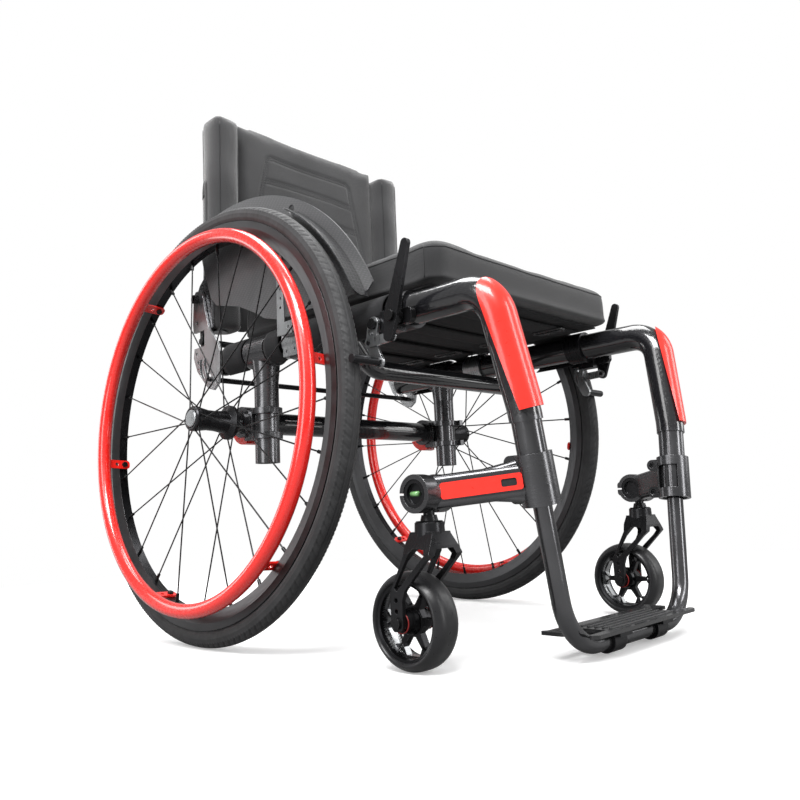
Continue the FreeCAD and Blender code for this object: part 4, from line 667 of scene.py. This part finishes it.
low, high = (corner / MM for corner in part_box("seat_cushion"))
outline = rounded_rectangle((low.x + 1, low.y), (high.x - 1, high.y - 3), 20)
flat = [at(x, y, 0) for x, y in outline]
middle = at((low.x + high.x) / 2, (low.y + high.y) / 2, 0)
spine = [(at(0, 0, z), scale, middle) for z, scale in (
    (low.z + 0.5, 0.975), (low.z + 5, 1.0), (high.z - 6, 1.0), (high.z - 1, 0.975))]
cushion = sweep_block(flat, spine, "cushion", CUSHION_CLOTH)
puff(cushion, 6.0, 4.0, 9.0, lambda p: 0.25 if p.z < low.z + 6 else 1.0)
for vertex in cushion.data.vertices:
    vertex.co.z = max(vertex.co.z, low.z * MM)
    wave = math.sin(vertex.co.x * 31) * math.sin(vertex.co.y * 27 + 1)
    vertex.co.z += wave * 0.0012 * max(0, (vertex.co.z / MM - low.z) / 50)
finish_piece(cushion, "frame", "cushion_fabric", "seat_cushion")

edge = rounded_rectangle((low.x + 1, low.y + 1), (high.x - 1, high.y - 1), 18)
path = resampled([at(x, y, high.z - 5) for x, y in edge], 6 * MM, True)
groups = [tube_data(laid_on(cushion, path), 0.9 * MM, 8, True)]
for x in (low.x + 5, high.x - 5):
    for y in (low.y + 26, high.y - 26):
        path = [at(x, y, low.z + 5 + (high.z - low.z - 8) * i / 12) for i in range(13)]
        groups.append(tube_data(laid_on(cushion, path), 0.9 * MM, 6))
finish_piece(new_object("cushion_piping", *joined(groups), PIPING), "frame", "cushion_fabric")

# ---------------------------------------------------------------- back upholstery

LOW, HIGH = (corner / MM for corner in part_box("back_upholstery"))
PANEL_HALF = 158.0


def panel_y(x, z):
    """The panel's middle surface: hung between the posts, so it bows gently to the rear."""
    return AXLE_Y + 84 + 7 * (1 - (x / PANEL_HALF) ** 2) + (z - LOW.z) * 0.004


def panel_top(x):
    return HIGH.z + 2 - 4.0 * (abs(x) / PANEL_HALF) ** 6


vertices = []
columns, rows = 60, 64
for front in (-1, 1):
    for j in range(rows + 1):
        for i in range(columns + 1):
            x = -PANEL_HALF + 2 * PANEL_HALF * i / columns
            z = LOW.z + 2 + (panel_top(x) - LOW.z - 2) * j / rows
            border = min(i, columns - i, j * 1.0, rows - j) / 2
            thick = 5.0 * min(1.0, 0.45 + border * 0.55)
            vertices.append(at(x, panel_y(x, z) + front * thick, z))
panel = new_object("back_panel", vertices, shell_faces(columns + 1, rows + 1), BACK_CLOTH)
puff(panel, 5.0, 3.0, 4.0)


def frame_half(z):
    """Half the width of the sewn frame on the panel at a height."""
    return 92 + (766 - z) * 0.23


def sewn_frame(inset):
    """The sewn frame's outline, with rounded top corners."""
    points = []
    for sign in (1, -1):
        arc = []
        for i in range(9):
            angle = math.radians(90 * i / 8)
            radius = 16 - inset
            top = 766 - inset
            half = frame_half(top - 16) - inset
            arc.append((half - radius + radius * math.cos(angle), top - radius + radius * math.sin(angle)))
        side_line = [(frame_half(z) - inset, z) for z in range(500, 745, 12)]
        run = side_line + arc
        points += [(sign * x, z) for x, z in (run if sign > 0 else reversed(run))]
    return points


SEAMS = [sewn_frame(0), sewn_frame(5)]
for z in (722, 716, 676, 670, 630, 624, 584, 578):
    half = frame_half(z) - 6
    SEAMS.append([(x, z + 5 - 5 * (x / half) ** 2) for x in [half * k / 20 for k in range(-20, 21)]])


def seam_distance(x, z):
    """How far a point of the panel is from its nearest seam."""
    best = 99.0
    for seam in SEAMS:
        for (ax, az), (bx, bz) in zip(seam[:-1], seam[1:]):
            if min(ax, bx) - 8 > x or max(ax, bx) + 8 < x or min(az, bz) - 8 > z or max(az, bz) + 8 < z:
                continue
            dx, dz = bx - ax, bz - az
            share = max(0.0, min(1.0, ((x - ax) * dx + (z - az) * dz) / max(dx * dx + dz * dz, 1e-9)))
            best = min(best, math.hypot(x - ax - share * dx, z - az - share * dz))
    return best


for vertex in panel.data.vertices:
    x, y, z = vertex.co / MM
    if y > panel_y(x, z):
        continue
    near = seam_distance(x, z)
    vertex.co.y += 1.3 * math.exp(-(near / 2.3) ** 2) * MM
    vertex.co.y += 0.8 * math.sin(x / 23 + z / 51) * math.sin(z / 37) * MM
finish_piece(panel, "back", "back_fabric", "back_upholstery")
groups = []
for seam in SEAMS:
    path = [at(x, panel_y(x, z) - 8, z) for x, z in seam]
    groups.append(stitches(laid_on(panel, resampled(path, 3 * MM), 0.0003)))
border = [(x, z) for x, z in rounded_rectangle((-138, LOW.z + 20), (138, HIGH.z - 20), 14)]
for line in (border, [(x, 560) for x in range(-132, 133, 12)], [(x, 700) for x in range(-132, 133, 12)]):
    path = resampled([at(x, panel_y(x, z) + 14, z) for x, z in line], 3 * MM, line is border)
    groups.append(stitches(laid_on(panel, path, 0.0003), line is border))
finish_piece(new_object("back_stitching", *joined(groups), THREAD), "back", "back_fabric")


def bolster(side):
    """A soft sleeve round a back post, fuller in front, with a seam down its inner edge."""
    sign = SIDES[side]
    section = rounded_rectangle((156, LOW.y + 4), (204.5, HIGH.y - 5), 17)
    flat = [at(x * sign, y, 0) for x, y in section]
    if sign < 0:
        flat.reverse()
    middle = at(181 * sign, (LOW.y + HIGH.y) / 2, 0)
    top = HIGH.z - 11
    levels = [(LOW.z + 1, 0.90), (LOW.z + 7, 1.0), (560, 1.0), (top - 14, 1.0), (top - 3, 0.97)]
    spine = [(at(0, (z - LOW.z) * 0.004, z), scale, middle) for z, scale in levels]
    sleeve = sweep_block(flat, spine, "bolster_" + side, BOLSTER_CLOTH)
    puff(sleeve, 5.0, 4.0, 5.0, lambda p: 0.3 if p.z > top - 20 else 1.0)
    for vertex in sleeve.data.vertices:
        lift = max(0.0, vertex.co.z / MM - top + 14) / 14
        vertex.co.z += 0.10 * lift * (abs(vertex.co.x) - at(181, 0, 0).x)
    for vertex in sleeve.data.vertices:
        x, y, z = vertex.co / MM
        fold = math.sin(z / 19 + y / 31) * math.sin(z / 47 + x / 15)
        vertex.co.x += 0.7 * fold * MM
        vertex.co.y += 0.9 * fold * MM
    finish_piece(sleeve, "back", "back_fabric")
    groups = []
    for x, y in ((160, LOW.y + 6), (199, LOW.y + 7), (201, HIGH.y - 10)):
        path = [at(x * sign, y, z) for z in range(int(LOW.z) + 8, int(HIGH.z) - 16, 8)]
        groups.append(tube_data(laid_on(sleeve, path, 0.0002), 0.9 * MM, 6))
    finish_piece(new_object("bolster_seams_" + side, *joined(groups), PIPING), "back", "back_fabric")
    bolster_flap(side, sleeve)


def laid_patch(name, target, rows, thick, material):
    """A closed patch of cloth laid on a piece: rows of points, thinned towards its border."""
    across = len(rows[0])
    top, bottom = [], []
    for j, row in enumerate(rows):
        border = [min(i, across - 1 - i, j, len(rows) - 1 - j) for i in range(across)]
        for point, edge in zip(laid_on(target, row), border):
            lift = thick * min(1.0, 0.35 + edge * 0.35)
            normal = laid_normal(target, point)
            top.append(point + normal * lift * MM)
            bottom.append(point - normal * 0.6 * MM)
    return new_object(name, top + bottom, shell_faces(across, len(rows)), material)


FLAP_TOP = 692


def bolster_flap(side, sleeve):
    """The layered rear flap of a bolster, its stitching and the small latch that closes it."""
    sign = SIDES[side]
    corner = [(209, LOW.y + 30), (209, LOW.y + 38), (209, LOW.y + 46), (208, HIGH.y - 10), (203, HIGH.y - 4),
              (196, HIGH.y), (188, HIGH.y + 1), (178, HIGH.y + 1), (168, HIGH.y + 1)]
    rows = [[at(x * sign, y + (z - LOW.z) * 0.004, z) for x, y in corner]
            for z in range(int(LOW.z) + 8, FLAP_TOP, 6)]
    flap = laid_patch("bolster_flap_" + side, sleeve, rows, 2.0, BOLSTER_CLOTH)
    finish_piece(flap, "back", "back_fabric")
    edge = [row[1] for row in rows[1:-1]] + rows[-2][2:-1]
    tab = [[at(x * sign, y, z) for x, y in corner[1:4]] for z in range(664, 702, 6)]
    latch = laid_patch("bolster_latch_" + side, flap, tab, 1.8, PLASTIC)
    finish_piece(latch, "back", "black_plastic")
    seam = new_object("flap_stitching_" + side, *stitches(laid_on(flap, edge, 0.0003)), THREAD)
    finish_piece(seam, "back", "back_fabric")


for side in SIDES:
    bolster(side)

# ---------------------------------------------------------------- seat sling and its straps

low, high = (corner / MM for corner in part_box("seat_sling"))


def sling_section():
    """The sling across the seat, from round one side tube to round the other, as (x, z)."""
    wrap = []
    for degrees in range(-70, 91, 10):
        angle = math.radians(degrees)
        wrap.append((190 + 25.2 * math.cos(angle), 395 + 25.2 * math.sin(angle)))
    middle = [(160, 419.4), (120, 418.6), (80, 418.0), (40, 417.6), (0, 417.5)]
    right_half = wrap + middle
    return right_half + [(-x, z) for x, z in reversed(right_half[:-1])]


def strip(name, material, y_low, y_high, section, thick, rows=4):
    """A band of cloth of a given thickness that follows a section across the seat."""
    count = len(section)
    vertices = []
    for layer in (0, 1):
        for j in range(rows + 1):
            y = y_low + (y_high - y_low) * j / rows
            for i, (x, z) in enumerate(section):
                before = section[max(i - 1, 0)]
                after = section[min(i + 1, count - 1)]
                dx, dz = after[0] - before[0], after[1] - before[1]
                size = math.hypot(dx, dz)
                push = layer * thick
                vertices.append(at(x + dz / size * push, y, z - dx / size * push))
    return new_object(name, vertices, shell_faces(count, rows + 1), material)


flat_part = [(x, 419.6) for x in range(-188, 189, 16)]
sheet = strip("sling_sheet", SLING_CLOTH_PAINTED_SHADE, low.y, high.y, flat_part, 2.0, 24)
finish_piece(sheet, "frame", "seat_fabric", "seat_sling")
for number, (y_low, y_high) in enumerate(((-203, -135), (-93, -48), (-3, 30), (84, 134))):
    wrap = strip("sling_wrap_%d" % number, SLING_CLOTH_PAINTED_SHADE, y_low, y_high, sling_section(), -1.6, 6)
    finish_piece(wrap, "frame", "seat_fabric")

STRAP_HALF = 164


def strap_height(x):
    """The height of the sagging straps under the seat."""
    return 416.6 - 2.2 * (1 - (x / STRAP_HALF) ** 2)


for number, y in enumerate((-215, -115, -20, 62)):
    sag = [(x, strap_height(x)) for x in range(-STRAP_HALF, STRAP_HALF + 1, 8)]
    strap = strip("seat_strap_%d" % number, WEBBING, y - 19, y + 19, sag, 2.0, 6)
    finish_piece(strap, "frame", "seat_fabric")
    for x in (-118, 118):
        z = strap_height(x)
        loop = [at(x + u, y + v, z - 3) for u, v in rounded_rectangle((-9, -23), (9, 23), 5, 3)]
        bar = [at(x, y - 21, z - 4.2), at(x, y, z - 4.2), at(x, y + 21, z - 4.2)]
        name = "strap_buckle_%d_%s" % (number, "left" if x > 0 else "right")
        parts = [tube_data(loop, 2.0 * MM, 8, True), tube_data(bar, 1.6 * MM, 8)]
        finish_piece(new_object(name, *joined(parts), PLASTIC), "frame", "black_plastic")

# ---------------------------------------------------------------- small fittings

for side, sign in SIDES.items():
    barrel = at(230 * sign, AXLE_Y - 371, 181)
    groups = []
    if sign < 0:
        line = [barrel + at(-19.4, y, 0) for y in (-5, 0, 5)]
        glass = new_object("level_glass", *tube_data(line, 2.6 * MM, 16), GREEN)
        finish_piece(glass, "frame", "black_plastic")
    axle = at(230 * sign, AXLE_Y - 343, 50.8)
    for face in (-1, 1):
        turns = [2 * math.pi * k / 36 for k in range(36)]
        loop = [axle + at(19.6 * face, 10.6 * math.cos(a), 10.6 * math.sin(a)) for a in turns]
        groups.append(tube_data(loop, 0.7 * MM, 8, True))
    rings = new_object("caster_rings_" + side, *joined(groups), DARK_RED)
    finish_piece(rings, "caster_wheel_" + side, "red_rim")

ribs = []
for y in range(-384, -340, 9):
    ribs.append(tube_data([at(x, y, 31.0) for x in range(-74, 75, 4)], 1.2 * MM, 8))
finish_piece(new_object("footplate_ribs", *joined(ribs), CASTER_RUBBER), "foot_plate", "black_plastic")

# ---------------------------------------------------------------- floor, light and camera

bpy.ops.mesh.primitive_plane_add(size=60, location=(0, 0, -0.0005))
floor = bpy.context.object
floor.name = "floor"
paper = Paint("floor_paper", (0.82, 0.82, 0.82), 0.9, 0, 0, 0, 0.1)
tree = paper.tree
rays = paper.node("ShaderNodeLightPath")
seen = rays.outputs["Is Camera Ray"]
paper.set_colour(paper.tint(seen, (0.22, 0.22, 0.22), (0.82, 0.82, 0.82)))
reach = paper.node("ShaderNodeVectorMath", operation="LENGTH")
paper.wire(paper.place, reach.inputs[0])
fade = paper.spread(reach.outputs["Value"], 0.0, 1.0, 0.55, 1.5)
glow = paper.node("ShaderNodeEmission")
glow.inputs["Strength"].default_value = 0.30
lifted = paper.node("ShaderNodeAddShader")
paper.wire(paper.shader.outputs[0], lifted.inputs[0])
paper.wire(glow.outputs[0], lifted.inputs[1])
white = paper.node("ShaderNodeEmission")
chosen = paper.node("ShaderNodeMixShader")
paper.wire(paper.math("MULTIPLY", seen, fade), chosen.inputs[0])
shown = paper.node("ShaderNodeMixShader")
paper.wire(seen, shown.inputs[0])
paper.wire(paper.shader.outputs[0], shown.inputs[1])
paper.wire(lifted.outputs[0], shown.inputs[2])
paper.wire(shown.outputs[0], chosen.inputs[1])
paper.wire(white.outputs[0], chosen.inputs[2])
paper.wire(chosen.outputs[0], tree.nodes["Material Output"].inputs["Surface"])
floor.data.materials.append(paper.material)

world = bpy.data.worlds.new("Studio")
SCENE.world = world
world.use_nodes = True
tree = world.node_tree
background = tree.nodes["Background"]
rays = tree.nodes.new("ShaderNodeLightPath")
strength = 0.55
for output, value in (("Is Glossy Ray", 0.40), ("Is Camera Ray", 1.0)):
    choice = tree.nodes.new("ShaderNodeMix")
    choice.data_type = "FLOAT"
    tree.links.new(rays.outputs[output], choice.inputs[0])
    if hasattr(strength, "links"):
        tree.links.new(strength, choice.inputs[2])
    else:
        choice.inputs[2].default_value = strength
    choice.inputs[3].default_value = value
    strength = choice.outputs[0]
tree.links.new(strength, background.inputs["Strength"])
background.inputs["Color"].default_value = (1, 1, 1, 1)


def softbox(name, location, target, size, power):
    light = bpy.data.lights.new(name, "AREA")
    light.shape = "RECTANGLE"
    light.size, light.size_y = size
    light.energy = power
    obj = bpy.data.objects.new(name, light)
    SCENE.collection.objects.link(obj)
    obj.location = location
    obj.rotation_euler = (Vector(target) - Vector(location)).to_track_quat("-Z", "Y").to_euler()
    obj.visible_camera = False


softbox("key", (-1.6, -0.9, 2.4), (0, 0, 0.4), (1.6, 1.0), 100)
softbox("side", (-2.6, -0.2, 1.1), (0, 0, 0.4), (1.0, 2.2), 30)
softbox("strip", (0.5, -2.6, 0.9), (0, 0, 0.4), (0.5, 2.2), 26)
softbox("rim", (-0.9, 2.0, 0.8), (0, 0, 0.3), (0.5, 2.2), 9)
softbox("top", (0.3, 0.4, 2.8), (0, 0.1, 0.4), (2.2, 1.4), 70)
softbox("fill", (1.8, -1.5, 1.2), (0, -0.1, 0.4), (0.8, 1.6), 14)

yaw, pitch, roll = math.radians(45.945), math.radians(8.908), -0.0450
forward = Vector((math.sin(yaw) * math.cos(pitch), math.cos(yaw) * math.cos(pitch), math.sin(pitch)))
level = forward.cross(Vector((0, 0, 1))).normalized()
over = level.cross(forward)
right = level * math.cos(roll) + over * math.sin(roll)
up = -level * math.sin(roll) + over * math.cos(roll)
camera = bpy.data.objects.new("camera", bpy.data.cameras.new("camera"))
SCENE.collection.objects.link(camera)
camera.matrix_world = Matrix((
    (right.x, up.x, -forward.x, -0.8346), (right.y, up.y, -forward.y, -0.8206),
    (right.z, up.z, -forward.z, 0.1671), (0, 0, 0, 1)))
camera.data.sensor_width = 36
camera.data.lens = 771.8 / 800 * 36
camera.data.shift_x = -(396.36 - 400) / 800
camera.data.shift_y = (387.33 - 400) / 800
SCENE.camera = camera
SCENE.view_settings.view_transform = "Standard"
